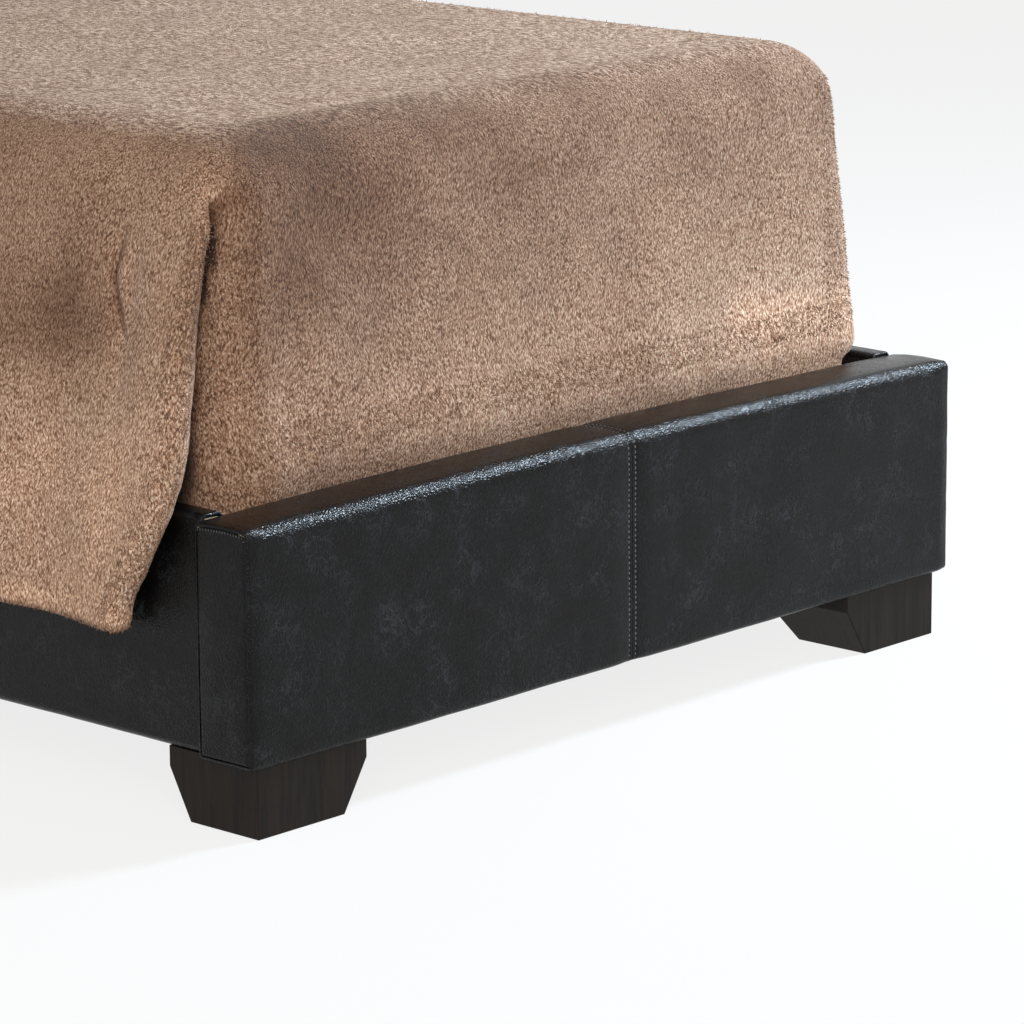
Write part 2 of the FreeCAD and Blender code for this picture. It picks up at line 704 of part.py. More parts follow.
def main():
    os.makedirs("parts", exist_ok=True)
    boards = (
        Board("footboard", foot_y, foot_height, 0, False),
        Board("headboard", head_y, head_height, 1, True))
    rail_holes, rail_skin_holes = brackets(boards, feet(boards))
    for board in boards:
        board.build()
    slats_and_legs(ledger_and_rail(rail_holes, rail_skin_holes))
    foundation()
    mattress()
    blanket()


main()
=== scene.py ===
"""Dressed model of a single upholstered panel bed: leather boards and rails, block feet, plush blanket."""
import json
import logging
import math
from dataclasses import dataclass, field
from enum import Enum

import bmesh
import bpy
import numpy as np
from mathutils import Matrix, Vector


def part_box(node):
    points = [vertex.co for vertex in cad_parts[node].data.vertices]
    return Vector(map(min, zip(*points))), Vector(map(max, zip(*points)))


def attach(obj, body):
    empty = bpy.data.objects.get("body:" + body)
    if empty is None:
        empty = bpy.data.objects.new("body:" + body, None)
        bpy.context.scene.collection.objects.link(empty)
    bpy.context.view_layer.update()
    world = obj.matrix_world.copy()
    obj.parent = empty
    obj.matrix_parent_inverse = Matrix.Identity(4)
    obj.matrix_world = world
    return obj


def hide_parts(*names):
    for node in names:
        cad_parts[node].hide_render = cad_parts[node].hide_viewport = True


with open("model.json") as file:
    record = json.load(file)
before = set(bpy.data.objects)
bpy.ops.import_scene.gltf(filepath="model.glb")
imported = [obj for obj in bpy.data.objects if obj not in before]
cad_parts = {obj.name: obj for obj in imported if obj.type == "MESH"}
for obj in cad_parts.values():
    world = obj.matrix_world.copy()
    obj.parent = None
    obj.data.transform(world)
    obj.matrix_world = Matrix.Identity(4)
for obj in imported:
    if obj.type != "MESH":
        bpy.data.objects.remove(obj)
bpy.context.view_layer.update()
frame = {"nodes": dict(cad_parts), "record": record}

LOG = logging.getLogger("bed")
MM = 0.001
FULL_TURN = 2 * math.pi
QUARTER = math.pi / 2
TINY = 1e-6                     # metres: below every real size, above rounding
LEATHER_WALL = 1.2 * MM
WELD = 0.05 * MM
Array = np.ndarray
Piece = bpy.types.Object
Socket = bpy.types.NodeSocket
Spot = tuple[float, float, float]


class Grain(Enum):
    """Direction of the wood's grain, as the axis that the pattern is stretched along."""
    ACROSS = 0
    UPRIGHT = 2


class Side(Enum):
    """A side of the bed, as the sign of X."""
    LEFT = -1
    RIGHT = 1


# ---------------------------------------------------------------- colour and nodes

def linear(code: str) -> tuple[float, float, float, float]:
    """Turns an sRGB hex colour to linear light.

    Args:
        code: the colour as six hex digits.

    Returns:
        Red, green, blue and alpha, linear.
    """
    parts = [int(code[i:i + 2], 16) / 255 for i in (0, 2, 4)]
    red, green, blue = (c / 12.92 if c <= 0.04045 else ((c + 0.055) / 1.055) ** 2.4 for c in parts)
    return red, green, blue, 1.0


def per_metre(millimetres: float) -> float:
    """Texture scale at which one cell of a pattern has this size."""
    return 1 / (millimetres * MM)


@dataclass(frozen=True)
class Graph:
    """A node tree that is laid out node by node."""
    tree: bpy.types.NodeTree

    def add(self, kind: str, inputs: dict[int | str, object] | None = None, out: int | str = 0,
            stops: tuple[tuple[float, str], ...] = (), **settings: object) -> Socket | None:
        """Adds a node with its settings, constants and links.

        Args:
            kind: the node's type name, without the ShaderNode part.
            inputs: for each input name or number, a constant or the socket to link.
            out: the output to return.
            stops: for a colour ramp, the place and sRGB hex colour of each stop.
            settings: attributes of the node.

        Returns:
            One output of the node, or nothing where it has none.
        """
        node = self.tree.nodes.new("ShaderNode" + kind)
        for name, value in settings.items():
            setattr(node, name, value)
        for key, value in (inputs or {}).items():
            if isinstance(value, Socket):
                self.tree.links.new(value, node.inputs[key])
            else:
                node.inputs[key].default_value = value
        for _ in stops[2:]:
            node.color_ramp.elements.new(0.5)
        for element, (place, code) in zip(node.color_ramp.elements if stops else (), stops):
            element.position, element.color = place, linear(code)
        return node.outputs[out] if node.outputs else None


@dataclass(frozen=True)
class Finish:
    """A finish: its slot and its constants. Each kind of finish lays out its own nodes."""
    name: str
    roughness: float = 0.5
    specular: float = 0.5
    metallic: float = 0.0

    def surface(self, graph: Graph, where: Socket) -> dict[str, object]:
        """Lays out the nodes.

        Args:
            graph: the material's nodes.
            where: Object coordinates.

        Returns:
            For each input of the shader, its socket or constant.
        """
        raise NotImplementedError

    def build(self) -> bpy.types.Material:
        """Makes the material: one shader with the finish's constants and nodes.

        Returns:
            The material.
        """
        material = bpy.data.materials.new(self.name)
        material.use_nodes = True
        material.node_tree.nodes.clear()
        graph = Graph(material.node_tree)
        constants = {"Roughness": self.roughness, "Specular IOR Level": self.specular, "Metallic": self.metallic}
        nodes = self.surface(graph, graph.add("TexCoord", out="Object"))
        graph.add("OutputMaterial", {"Surface": graph.add("BsdfPrincipled", constants | nodes)})
        return material


@dataclass(frozen=True)
class CoatedLeather(Finish):
    """Black polyurethane on cloth, embossed with a calf grain and rubbed with a blue-grey wax: a near black
    face with fine pebbles, faint broken veins where the wax stays in the creases, and a soft grainy gloss."""
    roughness: float = 0.24
    specular: float = 0.145
    pebble_mm: float = 3.4
    vein_mm: float = 30.0
    cloud_mm: float = 55.0
    fleck_mm: float = 2.6           # these flecks are painted glints; the grain's real glints are about 1 mm, too fine to show
    wax: str = "25282e"

    def surface(self, graph: Graph, where: Socket) -> dict[str, object]:
        """Pebbles are cells of a bent Voronoi pattern and veins the ridges of a distorted noise. Wax stays in the veins
        in some patches. Fine flecks of the wax colour in wider patches are painted glints, where the grain catches
        light.

        Args:
            graph: the material's nodes.
            where: Object coordinates.

        Returns:
            For each input of the shader, its socket or constant.
        """
        add = graph.add
        bend = add("TexNoise", {"Vector": where, "Scale": per_metre(6.0), "Detail": 2.0}, "Color")
        moved = add("VectorMath", {0: bend, 1: (1.6 * MM,) * 3, 2: where}, operation="MULTIPLY_ADD")
        cells = add("TexVoronoi", {"Vector": moved, "Scale": per_metre(self.pebble_mm)}, feature="DISTANCE_TO_EDGE")
        pebble = add("MapRange", {"Value": cells, "From Max": 0.28})
        fold = add("TexNoise", {"Vector": where, "Scale": per_metre(self.vein_mm), "Detail": 7.0,
                                "Roughness": 0.66, "Distortion": 0.35})
        offset = add("Math", {0: fold, 1: 0.5}, operation="SUBTRACT")
        away = add("Math", {0: offset}, operation="ABSOLUTE")
        vein = add("MapRange", {"Value": away, "From Max": 0.02, "To Min": 1.0, "To Max": 0.0})
        cloud = add("TexNoise", {"Vector": where, "Scale": per_metre(self.cloud_mm), "Detail": 4.0, "Roughness": 0.6})
        patch = add("MapRange", {"Value": cloud, "From Min": 0.48, "From Max": 0.66})
        broken = add("Math", {0: vein, 1: patch}, operation="MULTIPLY")
        # Painted glints: fine flecks of the wax colour where the grain would catch light.
        fine = add("TexNoise", {"Vector": where, "Scale": per_metre(self.fleck_mm), "Detail": 2.0, "Roughness": 0.6})
        fleck = add("MapRange", {"Value": fine, "From Min": 0.54, "From Max": 0.72, "To Max": 0.7})
        spread = add("MapRange", {"Value": cloud, "From Min": 0.36, "From Max": 0.6})
        painted_glints = add("Math", {0: fleck, 1: spread}, operation="MULTIPLY")
        veins_and_painted_glints = add("Math", {0: broken, 1: painted_glints}, operation="MAXIMUM")
        base = add("ValToRGB", {"Fac": cloud}, stops=((0.3, "040404"), (0.7, "0a0a0a")))
        waxed = add("MixRGB", {"Fac": veins_and_painted_glints, "Color1": base, "Color2": linear(self.wax)})
        rough = add("MapRange", {"Value": cloud, "From Min": 0.3, "From Max": 0.7,
                                 "To Min": self.roughness - 0.08, "To Max": self.roughness + 0.06})
        relief: dict[str, object] = {}
        for height, depth in ((broken, 0.25 * MM), (pebble, 0.22 * MM), (fine, 0.4 * MM)):
            relief = {"Normal": add("Bump", {"Height": height, "Strength": 1.0, "Distance": depth, **relief})}
        return {"Base Color": waxed, "Roughness": rough, **relief}


@dataclass(frozen=True)
class PlushPile(Finish):
    """Brushed polyester plush: short clumped fibres that show light tips over dark gaps, with a velvety edge. The tips'
    lightness is partly painted light, and the dark of the gaps is painted shade between the clumps.
    An attribute of painted light and shade, with some brushing of the pile, lightens the pile where the light falls and
    darkens it in creases, folds and hollows. Single fibres are too fine to show, so the pattern starts at clumps of
    about 1.5 mm."""
    roughness: float = 0.85
    specular: float = 0.2
    clump_mm: float = 1.45
    tuft_mm: float = 3.8
    base: str = "957660"
    light: str = "c8b4a1"
    dark: str = "563c2c"
    gain: float = 1.95              # of the lit tone, because the tone's stops are darker than the plush

    def surface(self, graph: Graph, where: Socket) -> dict[str, object]:
        """Clumps are noise stretched along the brushing, which runs downwards and sways from place to place. On level
        cloth the clumps lean over towards the foot and show as longer tufts.

        Args:
            graph: the material's nodes.
            where: Object coordinates.

        Returns:
            For each input of the shader, its socket or constant.
        """
        add = graph.add
        swirl = add("TexNoise", {"Vector": where, "Scale": 6.0, "Detail": 1.0}, "Color")
        moved = add("VectorMath", {0: swirl, 1: (0.05, 0.05, 0.03), 2: where}, operation="MULTIPLY_ADD")
        clump = add("Mapping", {"Vector": moved, "Rotation": (0.35, 0.45, 0), "Scale": (1.0, 1.0, 0.45)})
        tuft = add("TexNoise", {"Vector": clump, "Scale": per_metre(self.clump_mm), "Detail": 2.0,
                                "Roughness": 0.5, "Distortion": 0.4})
        cells = add("TexVoronoi", {"Vector": clump, "Scale": per_metre(self.clump_mm * 1.4)}, feature="SMOOTH_F1")
        fibre = add("TexNoise", {"Vector": clump, "Scale": per_metre(1.5), "Detail": 1.0})
        peak = add("Math", {0: cells, 1: -0.55, 2: 0.62}, operation="MULTIPLY_ADD")
        both = add("Math", {0: tuft, 1: peak}, operation="ADD")
        fibres = add("Math", {0: fibre, 1: 0.35, 2: both}, operation="MULTIPLY_ADD")
        brushed = add("Mapping", {"Vector": moved, "Rotation": (0, 0, 0.3), "Scale": (1.0, 0.45, 1.0)})
        long = add("TexNoise", {"Vector": brushed, "Scale": per_metre(self.tuft_mm), "Detail": 2.0, "Distortion": 0.6})
        upward = add("SeparateXYZ", {0: add("TexCoord", out="Normal")}, "Z")
        level = add("MapRange", {"Value": upward, "From Min": 0.75, "From Max": 0.97, "To Max": 1.5})
        lean = add("Math", {0: long, 1: 0.5}, operation="SUBTRACT")
        height = add("Math", {0: lean, 1: level, 2: fibres}, operation="MULTIPLY_ADD")
        tip = add("MapRange", {"Value": height, "From Min": 0.84, "From Max": 1.36})
        # Clump tips lighter and gaps darker: painted light on the tips and painted shade between the clumps.
        shade = add("ValToRGB", {"Fac": tip}, stops=((0.0, self.dark), (0.45, self.base), (1.0, self.light)))
        # Painted light and shade per point, plus a broad noise; the tone ramp turns them into a colour factor that is
        # warm and dark where shaded, pale and cool where lit.
        nap = add("Attribute", out="Fac", attribute_name="nap")
        wide = add("TexNoise", {"Vector": where, "Scale": 11.0, "Detail": 5.0, "Roughness": 0.6})
        uneven = add("Math", {0: wide, 1: 0.7, 2: nap}, operation="MULTIPLY_ADD")
        painted_light_level = add("MapRange", {"Value": uneven, "From Min": -1.0, "From Max": 1.4})
        tone = add("ValToRGB", {"Fac": painted_light_level}, stops=(
            (0.0, "3f342e"), (0.3, "8d8077"), (0.56, "cbc8c6"), (0.8, "e4e6e8"), (1.0, "ffffff")))
        lit = add("VectorMath", {0: shade, 1: tone}, operation="MULTIPLY")
        colour = add("VectorMath", {0: lit, "Scale": self.gain}, operation="SCALE")
        bump = add("Bump", {"Height": height, "Strength": 0.8, "Distance": 2.0 * MM})
        return {"Base Color": colour, "Normal": bump, "Sheen Weight": 0.16, "Sheen Roughness": 0.45,
                "Sheen Tint": linear("e2dad2")}


@dataclass(frozen=True)
class StainedWood(Finish):
    """Sawn and sanded timber: long fibres in two tones with fine pores, stained and lacquered or left raw."""
    grain: Grain = Grain.UPRIGHT
    early: str = "c9a678"
    late: str = "9a7246"
    ring_mm: float = 7.0
    coat: float = 0.0
    drawn_out: float = 14.0         # length of a fibre in its widths

    def surface(self, graph: Graph, where: Socket) -> dict[str, object]:
        """Fibres are noise drawn out along the grain, and rings are a slower one.

        Args:
            graph: the material's nodes.
            where: Object coordinates.

        Returns:
            For each input of the shader, its socket or constant.
        """
        add = graph.add
        stretch = tuple(1 / self.drawn_out if axis == self.grain.value else 1.0 for axis in range(3))
        along = add("Mapping", {"Vector": where, "Scale": stretch})
        rings = add("TexNoise", {"Vector": along, "Scale": per_metre(self.ring_mm), "Detail": 3.0, "Distortion": 0.6})
        pores = add("TexNoise", {"Vector": along, "Scale": per_metre(0.8), "Detail": 2.0})
        mixed = add("Math", {0: pores, 1: 0.35, 2: rings}, operation="MULTIPLY_ADD")
        colour = add("ValToRGB", {"Fac": mixed}, stops=((0.48, self.late), (0.82, self.early)))
        bump = add("Bump", {"Height": mixed, "Strength": 0.25, "Distance": 0.4 * MM})
        return {"Base Color": colour, "Normal": bump, "Coat Weight": self.coat, "Coat Roughness": 0.22}


@dataclass(frozen=True)
class Speckled(Finish):
    """A material that shows as small specks of two tones: pressed fibre, cut foam, moulded plastic, coated or
    plated steel. The speck's size and the depth of its relief tell them apart."""
    low: str = "303030"
    high: str = "404040"
    speck_mm: float = 1.0
    relief_mm: float = 0.1
    pores: bool = False

    def surface(self, graph: Graph, where: Socket) -> dict[str, object]:
        """Specks are fine noise; pores are Voronoi cells, dark at their middles.

        Args:
            graph: the material's nodes.
            where: Object coordinates.

        Returns:
            For each input of the shader, its socket or constant.
        """
        add = graph.add
        shape = add("TexNoise", {"Vector": where, "Scale": per_metre(self.speck_mm), "Detail": 3.0})
        if self.pores:
            cells = add("TexVoronoi", {"Vector": where, "Scale": per_metre(self.speck_mm * 2)})
            shape = add("Math", {0: cells, 1: 0.7, 2: shape}, operation="MULTIPLY_ADD")
        colour = add("ValToRGB", {"Fac": shape}, stops=((0.35, self.low), (0.75, self.high)))
        bump = add("Bump", {"Height": shape, "Strength": 0.5, "Distance": self.relief_mm * MM})
        return {"Base Color": colour, "Normal": bump}


@dataclass(frozen=True)
class WovenCloth(Finish):
    """Cloth of crossing yarns: two sets of rounded threads, one over the other, with a little uneven dye.
    On a knit the courses are finer than the wales, so the stitches look like small upright loops."""
    roughness: float = 0.9
    specular: float = 0.2
    yarn: str = "e6e1d6"
    gap: str = "b9b2a4"
    across_mm: float = 1.6
    along_mm: float = 1.6
    relief_mm: float = 0.25

    def surface(self, graph: Graph, where: Socket) -> dict[str, object]:
        """Thread height is the product of two sine ridges in the cloth's own flat coordinates.

        Args:
            graph: the material's nodes.
            where: Object coordinates; not used.

        Returns:
            For each input of the shader, its socket or constant.
        """
        add = graph.add
        flat = add("UVMap", uv_map="cloth")
        ridges = []
        for way, pitch in zip(add("SeparateXYZ", {0: flat}).node.outputs, (self.across_mm, self.along_mm)):
            phase = add("Math", {0: way, 1: FULL_TURN * per_metre(pitch)}, operation="MULTIPLY")
            ridges.append(add("Math", {0: phase}, operation="SINE"))
        weave = add("Math", {0: ridges[0], 1: ridges[1]}, operation="MULTIPLY")
        height = add("MapRange", {"Value": weave, "From Min": -1.0})
        slub = add("TexNoise", {"Vector": flat, "Scale": per_metre(35.0), "Detail": 5.0})
        yarns = add("Math", {0: height, 1: 0.5, 2: 0.32}, operation="MULTIPLY_ADD")
        tone = add("Math", {0: slub, 1: 0.3, 2: yarns}, operation="MULTIPLY_ADD")
        colour = add("ValToRGB", {"Fac": tone}, stops=((0.4, self.gap), (0.95, self.yarn)))
        bump = add("Bump", {"Height": height, "Strength": 0.5, "Distance": self.relief_mm * MM})
        return {"Base Color": colour, "Normal": bump}


@dataclass(frozen=True)
class SewingThread(Finish):
    """Bonded polyester thread, twisted from fine yarns: small slanted ridges with a waxy glint."""
    roughness: float = 0.4
    thread: str = "2a2b2e"
    twist_mm: float = 0.9           # real twist is 0.6 mm, too fine to show

    def surface(self, graph: Graph, where: Socket) -> dict[str, object]:
        """The twist is a slanted wave.

        Args:
            graph: the material's nodes.
            where: Object coordinates.

        Returns:
            For each input of the shader, its socket or constant.
        """
        add = graph.add
        twist = add("TexWave", {"Vector": where, "Scale": per_metre(self.twist_mm) / FULL_TURN, "Distortion": 0.5},
                    "Fac", bands_direction="DIAGONAL")
        tint = add("MixRGB", {"Fac": twist, "Color1": linear(self.thread), "Color2": linear("3a3b3d")})
        bump = add("Bump", {"Height": twist, "Strength": 0.4, "Distance": 0.2 * MM})
        return {"Base Color": tint, "Normal": bump}


FINISHES = (
    CoatedLeather("black_leather"),
    PlushPile("plush"),
    StainedWood("espresso_wood", roughness=0.42, specular=0.12, early="1e1712", late="0e0b08", coat=0.04),
    StainedWood("pine", roughness=0.62, grain=Grain.ACROSS, early="dcbf92", late="b78d58", ring_mm=11.0),
    Speckled("hardboard", roughness=0.6, low="5a3b22", high="80593a", speck_mm=1.2, relief_mm=0.12),
    Speckled("foam", roughness=0.95, specular=0.1, low="b9b08e", high="ded7bd", speck_mm=1.5, relief_mm=0.6,
             pores=True),
    Speckled("black_steel", roughness=0.5, low="121213", high="1d1d1f", speck_mm=0.9, relief_mm=0.08),
    Speckled("zinc_steel", roughness=0.34, metallic=1.0, low="9b9ea3", high="c3c6ca", speck_mm=2.2, relief_mm=0.03),
    Speckled("black_plastic", roughness=0.46, low="161617", high="1f1f21", speck_mm=0.7, relief_mm=0.05),
    WovenCloth("quilted_knit", yarn="f1eee6", gap="cfcabd", across_mm=1.5, along_mm=1.1),
    WovenCloth("border_knit", yarn="d9d4c8", gap="a9a293", across_mm=1.8, along_mm=1.8),
    WovenCloth("base_cloth", yarn="cfcabf", gap="9b968a", across_mm=2.0, along_mm=2.0),
    WovenCloth("foundation_fabric", yarn="cbc5b8", gap="928b7d", across_mm=1.8, along_mm=1.8),
    WovenCloth("dust_cloth", yarn="232325", gap="0f0f10", across_mm=1.2, along_mm=1.2, relief_mm=0.12),
    SewingThread("seam_thread", thread="686b70"),
    SewingThread("cap_thread", thread="66686b"),
)


@dataclass
class Wardrobe:
    """The materials of the bed by slot, each made when it is first asked for."""
    made: dict[str, bpy.types.Material] = field(default_factory=dict)

    def get(self, name: str) -> bpy.types.Material:
        """The material of a slot.

        Args:
            name: the slot's name.

        Returns:
            Its material.
        """
        if name not in self.made:
            self.made[name] = next(finish for finish in FINISHES if finish.name == name).build()
        return self.made[name]

    def dress_nodes(self) -> None:
        """Gives every node of the frame the finish of its slot."""
        for part in frame["record"]["subparts"]:
            node = frame["nodes"].get(part["node"])
            if node is None:
                continue
            finish = self.get(part["material_slot"])
            if not node.material_slots:
                node.data.materials.append(finish)
            for place in node.material_slots:
                place.material = finish


WARDROBE = Wardrobe()


# ---------------------------------------------------------------- shapes

def smooth(low: float, high: float, value: Array) -> Array:
    """Smooth step: 0 below low, 1 above high, and 3t^2 - 2t^3 between them."""
    t = np.clip((value - low) / (high - low), 0.0, 1.0)
    return t * t * (3 - 2 * t)


def window(value: Array, start: float, full: float, fade: float, end: float) -> Array:
    """Smooth window: rises from start to full and falls from fade to end."""
    return smooth(start, full, value) * smooth(end, fade, value)


def bell(value: Array, centre: Array | float, width: float) -> Array:
    """Bell curve: e to the power of minus the squared distance from the centre, in widths."""
    return np.exp(-((value - centre) / width) ** 2)


def coords(*parts: Array | float) -> Array:
    """Coordinates side by side, each spread to the shape of all."""
    return np.stack(np.broadcast_arrays(*parts), axis=-1)


def unit(rows: Array) -> Array:
    """Each row at length 1."""
    return rows / np.maximum(np.linalg.norm(rows, axis=-1), 1e-12)[..., None]


def ripple(u: Array, v: Array, size: float, seed: int, waves: int = 9) -> Array:
    """Soft unevenness: the mean of plane waves in seeded directions, with lengths around a size.

    Args:
        u: first flat coordinate, in metres.
        v: second flat coordinate.
        size: usual wavelength, in metres.
        seed: picks the waves, so that each run gives the same ones.
        waves: number of waves.

    Returns:
        Values within about -1 and 1.
    """
    rng = np.random.default_rng(seed)
    angle = rng.uniform(0, FULL_TURN, waves)
    k = FULL_TURN / (size * rng.uniform(0.6, 1.7, waves))
    phase = rng.uniform(0, FULL_TURN, waves)
    total = sum(np.sin(k[i] * (u * math.cos(angle[i]) + v * math.sin(angle[i])) + phase[i]) for i in range(waves))
    return total / waves * 1.8


def steps(*stops: tuple[float, float]) -> Array:
    """Stations along a line, with a spacing for each stretch.

    Args:
        stops: the place of each stop and the spacing of the stretch that ends there; the first spacing is unused.

    Returns:
        Rising stations, through every stop.
    """
    runs = [np.array([stops[0][0]])]
    for (start, _), (end, gap) in zip(stops, stops[1:]):
        count = max(int(round((end - start) / gap)), 1)
        runs.append(start + (end - start) * np.arange(1, count + 1) / count)
    return np.concatenate(runs)


def rounded_path(corners: list[Spot], gap: float, arc_gap: float) -> Array:
    """Line through corners, each rounded by an arc of its radius; a corner on a straight run has radius 0.

    Args:
        corners: two coordinates and the radius of each corner, in order; the ends have radius 0.
        gap: spacing of the points on straight runs.
        arc_gap: spacing on the arcs.

    Returns:
        Points of the path, one row each.
    """
    pieces = [np.array([corners[0][:2]])]

    def straight(end: Array) -> None:
        """Adds evenly spaced points up to an end.

        Args:
            end: the last point.
        """
        start = pieces[-1][-1]
        count = max(int(np.linalg.norm(end - start) / gap), 1)
        pieces.append(start + (end - start) * (np.arange(1, count + 1) / count)[:, None])

    for before, here, after in zip(corners, corners[1:], corners[2:]):
        a, b, c = (np.array(corner[:2]) for corner in (before, here, after))
        into, out = (b - a) / np.linalg.norm(b - a), (c - b) / np.linalg.norm(c - b)
        radius = here[2]
        start = b - into * radius
        straight(start)
        if radius > 0:
            bends = max(int(radius * QUARTER / arc_gap), 3)
            turn = (np.arange(1, bends + 1) / bends * QUARTER)[:, None]
            pieces.append(start + radius * (np.sin(turn) * into + (1 - np.cos(turn)) * out))
    straight(np.array(corners[-1][:2]))
    return np.concatenate(pieces)


def path_normals(path: Array) -> Array:
    """Unit normals of a flat path, to the left of its direction."""
    tangent = unit(np.gradient(path, axis=0))
    return np.stack([-tangent[:, 1], tangent[:, 0]], axis=1)


def way_along(path: Array) -> Array:
    """Distance walked along a path at each of its points."""
    return np.concatenate([[0.0], np.cumsum(np.linalg.norm(np.diff(path, axis=0), axis=1))])


def grid_faces(rows: int, columns: int, keep: Array | None = None, loop: bool = False) -> Array:
    """Corners of the quads of a grid.

    Args:
        rows: number of rows of points.
        columns: number of points in a row.
        keep: for each quad, whether it stays.
        loop: joins the last column to the first.

    Returns:
        Four point numbers for each quad.
    """
    index = np.arange(rows * columns).reshape(rows, columns)
    right = np.roll(index, -1, axis=1) if loop else index[:, 1:]
    left = index if loop else index[:, :-1]
    quads = np.stack([left[:-1], right[:-1], right[1:], left[1:]], axis=-1)
    return quads[keep] if keep is not None else quads.reshape(-1, 4)


def make_piece(name: str, points: Array, faces: Array, finish: str, outward: Array | None = None,
               flat: Array | None = None, wall: float = 0.0, wall_side: float = -1.0, weld: float = 0.0) -> Piece:
    """Puts points and faces into a mesh object, with faces outwards, a wall and a finish.

    Args:
        name: the piece's name.
        points: places in metres, one row each.
        faces: point numbers of each face.
        finish: slot name of its material.
        outward: rough outward direction at each point, to turn the faces by.
        flat: flat coordinates of each point, for the cloth map.
        wall: thickness added by a Solidify modifier.
        wall_side: where the wall goes: -1 inwards, 0 both ways, 1 outwards.
        weld: joins points nearer than this.

    Returns:
        The new object, linked to the scene.
    """
    points = np.ascontiguousarray(points.reshape(-1, 3), dtype=np.float64)
    if outward is not None:
        outward = np.broadcast_to(outward if outward.ndim == 1 else outward.reshape(-1, 3), points.shape)
        a, b, c = points[faces[:, 0]], points[faces[:, 1]], points[faces[:, 2]]
        if np.einsum("ij,ij->", np.cross(b - a, c - a), outward[faces[:, 0]]) < 0:
            faces = faces[:, ::-1]
    mesh = bpy.data.meshes.new(name)
    sides = faces.shape[1]
    mesh.vertices.add(len(points))
    mesh.vertices.foreach_set("co", points.ravel())
    mesh.loops.add(faces.size)
    mesh.loops.foreach_set("vertex_index", np.ascontiguousarray(faces, dtype=np.int32).ravel())
    mesh.polygons.add(len(faces))
    mesh.polygons.foreach_set("loop_start", np.arange(len(faces), dtype=np.int32) * sides)
    mesh.polygons.foreach_set("loop_total", np.full(len(faces), sides, dtype=np.int32))
    mesh.polygons.foreach_set("use_smooth", np.ones(len(faces), dtype=bool))
    if flat is not None:
        layer = mesh.uv_layers.new(name="cloth")
        layer.data.foreach_set("uv", flat.reshape(-1, 2)[faces.ravel()].astype(np.float32).ravel())
    mesh.update(calc_edges=True)
    mesh.validate()
    if weld:
        work = bmesh.new()
        work.from_mesh(mesh)
        bmesh.ops.remove_doubles(work, verts=work.verts, dist=weld)
        work.to_mesh(mesh)
        work.free()
    piece = bpy.data.objects.new(name, mesh)
    bpy.context.scene.collection.objects.link(piece)
    mesh.materials.append(WARDROBE.get(finish))
    if wall:
        solid = piece.modifiers.new("wall", "SOLIDIFY")
        solid.thickness = wall
        solid.offset = wall_side
        solid.use_even_offset = False
    LOG.info("piece %s: %d points, %d faces", name, len(points), len(faces))
    return piece


def settle(piece: Piece, node: str | None = None,
           body: str = "bed_frame") -> Piece:
    """Says what a finished piece rides on and stands for.

    Args:
        piece: the finished piece.
        node: the node that it replaces, if any.
        body: the body that it rides on.

    Returns:
        The piece.
    """
    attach(piece, body)
    if node:
        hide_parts(node)
    return piece


def beads(centres: Array, along: Array, up: Array, length: float, radius: float) -> tuple[Array, Array]:
    """Stitches as small closed ellipsoids, five rings of six points.

    A point is centre + length/2 * cos(t) * along + radius * sin(t) * (cos(a) * up + sin(a) * across).

    Args:
        centres: middle of each stitch.
        along: its direction.
        up: its outward direction.
        length: its length.
        radius: half its thickness.

    Returns:
        Points and quads of all stitches.
    """
    rings, around, blunt = 5, 6, 0.12
    turns = np.linspace(0, FULL_TURN, around, endpoint=False)
    slant = np.linspace(blunt, math.pi - blunt, rings)[None, :, None, None]
    ring = np.cos(turns)[None, :, None] * up[:, None] + np.sin(turns)[None, :, None] * np.cross(along, up)[:, None]
    body = (centres[:, None, None] + length / 2 * np.cos(slant) * along[:, None, None]
            + radius * np.sin(slant) * ring[:, None])
    first = np.array([[0, 1, 2, 3], [0, 3, 4, 5]])
    one = np.concatenate([grid_faces(rings, around, loop=True), first, first[:, ::-1] + (rings - 1) * around])
    faces = (one[None] + (np.arange(len(centres)) * rings * around)[:, None, None]).reshape(-1, 4)
    return body.reshape(-1, 3), faces


def joined(first: tuple[Array, Array], second: tuple[Array, Array]) -> tuple[Array, Array]:
    """Two sets of points and faces as one."""
    return np.concatenate([first[0], second[0]]), np.concatenate([first[1], second[1] + len(first[0])])


def spaced(path: Array, pitch: float) -> tuple[Array, Array]:
    """Places at a pitch along a path, and the path's unit direction there.

    Args:
        path: points of the path.
        pitch: distance between places.

    Returns:
        The places and directions.
    """
    run = way_along(path)
    at = np.arange(pitch / 2, run[-1], pitch)
    places, ahead, behind = (np.stack([np.interp(at + shift, run, column) for column in path.T], axis=1)
                             for shift in (0, pitch / 4, -pitch / 4))
    return places, unit(ahead - behind)


def quarter(radius: float, bends: int) -> tuple[Array, Array]:
    """A quarter turn from the start of an arc: the way forwards, r sin t, and the way in, r (1 - cos t)."""
    turn = np.linspace(0, QUARTER, bends)[1:]
    return radius * np.sin(turn), radius * (1 - np.cos(turn))


def close_top(piece: Piece, above: float) -> None:
    """Fills the open ring that a piece has above a height.

    Args:
        piece: the piece, changed in place.
        above: height that the ring lies above.
    """
    work = bmesh.new()
    work.from_mesh(piece.data)
    rim = [edge for edge in work.edges if edge.is_boundary and edge.verts[0].co.z > above]
    bmesh.ops.holes_fill(work, edges=rim, sides=0)
    bmesh.ops.triangulate(work, faces=[face for face in work.faces if len(face.verts) > 4])
    work.to_mesh(piece.data)
    work.free()


# ---------------------------------------------------------------- leather boards and rails

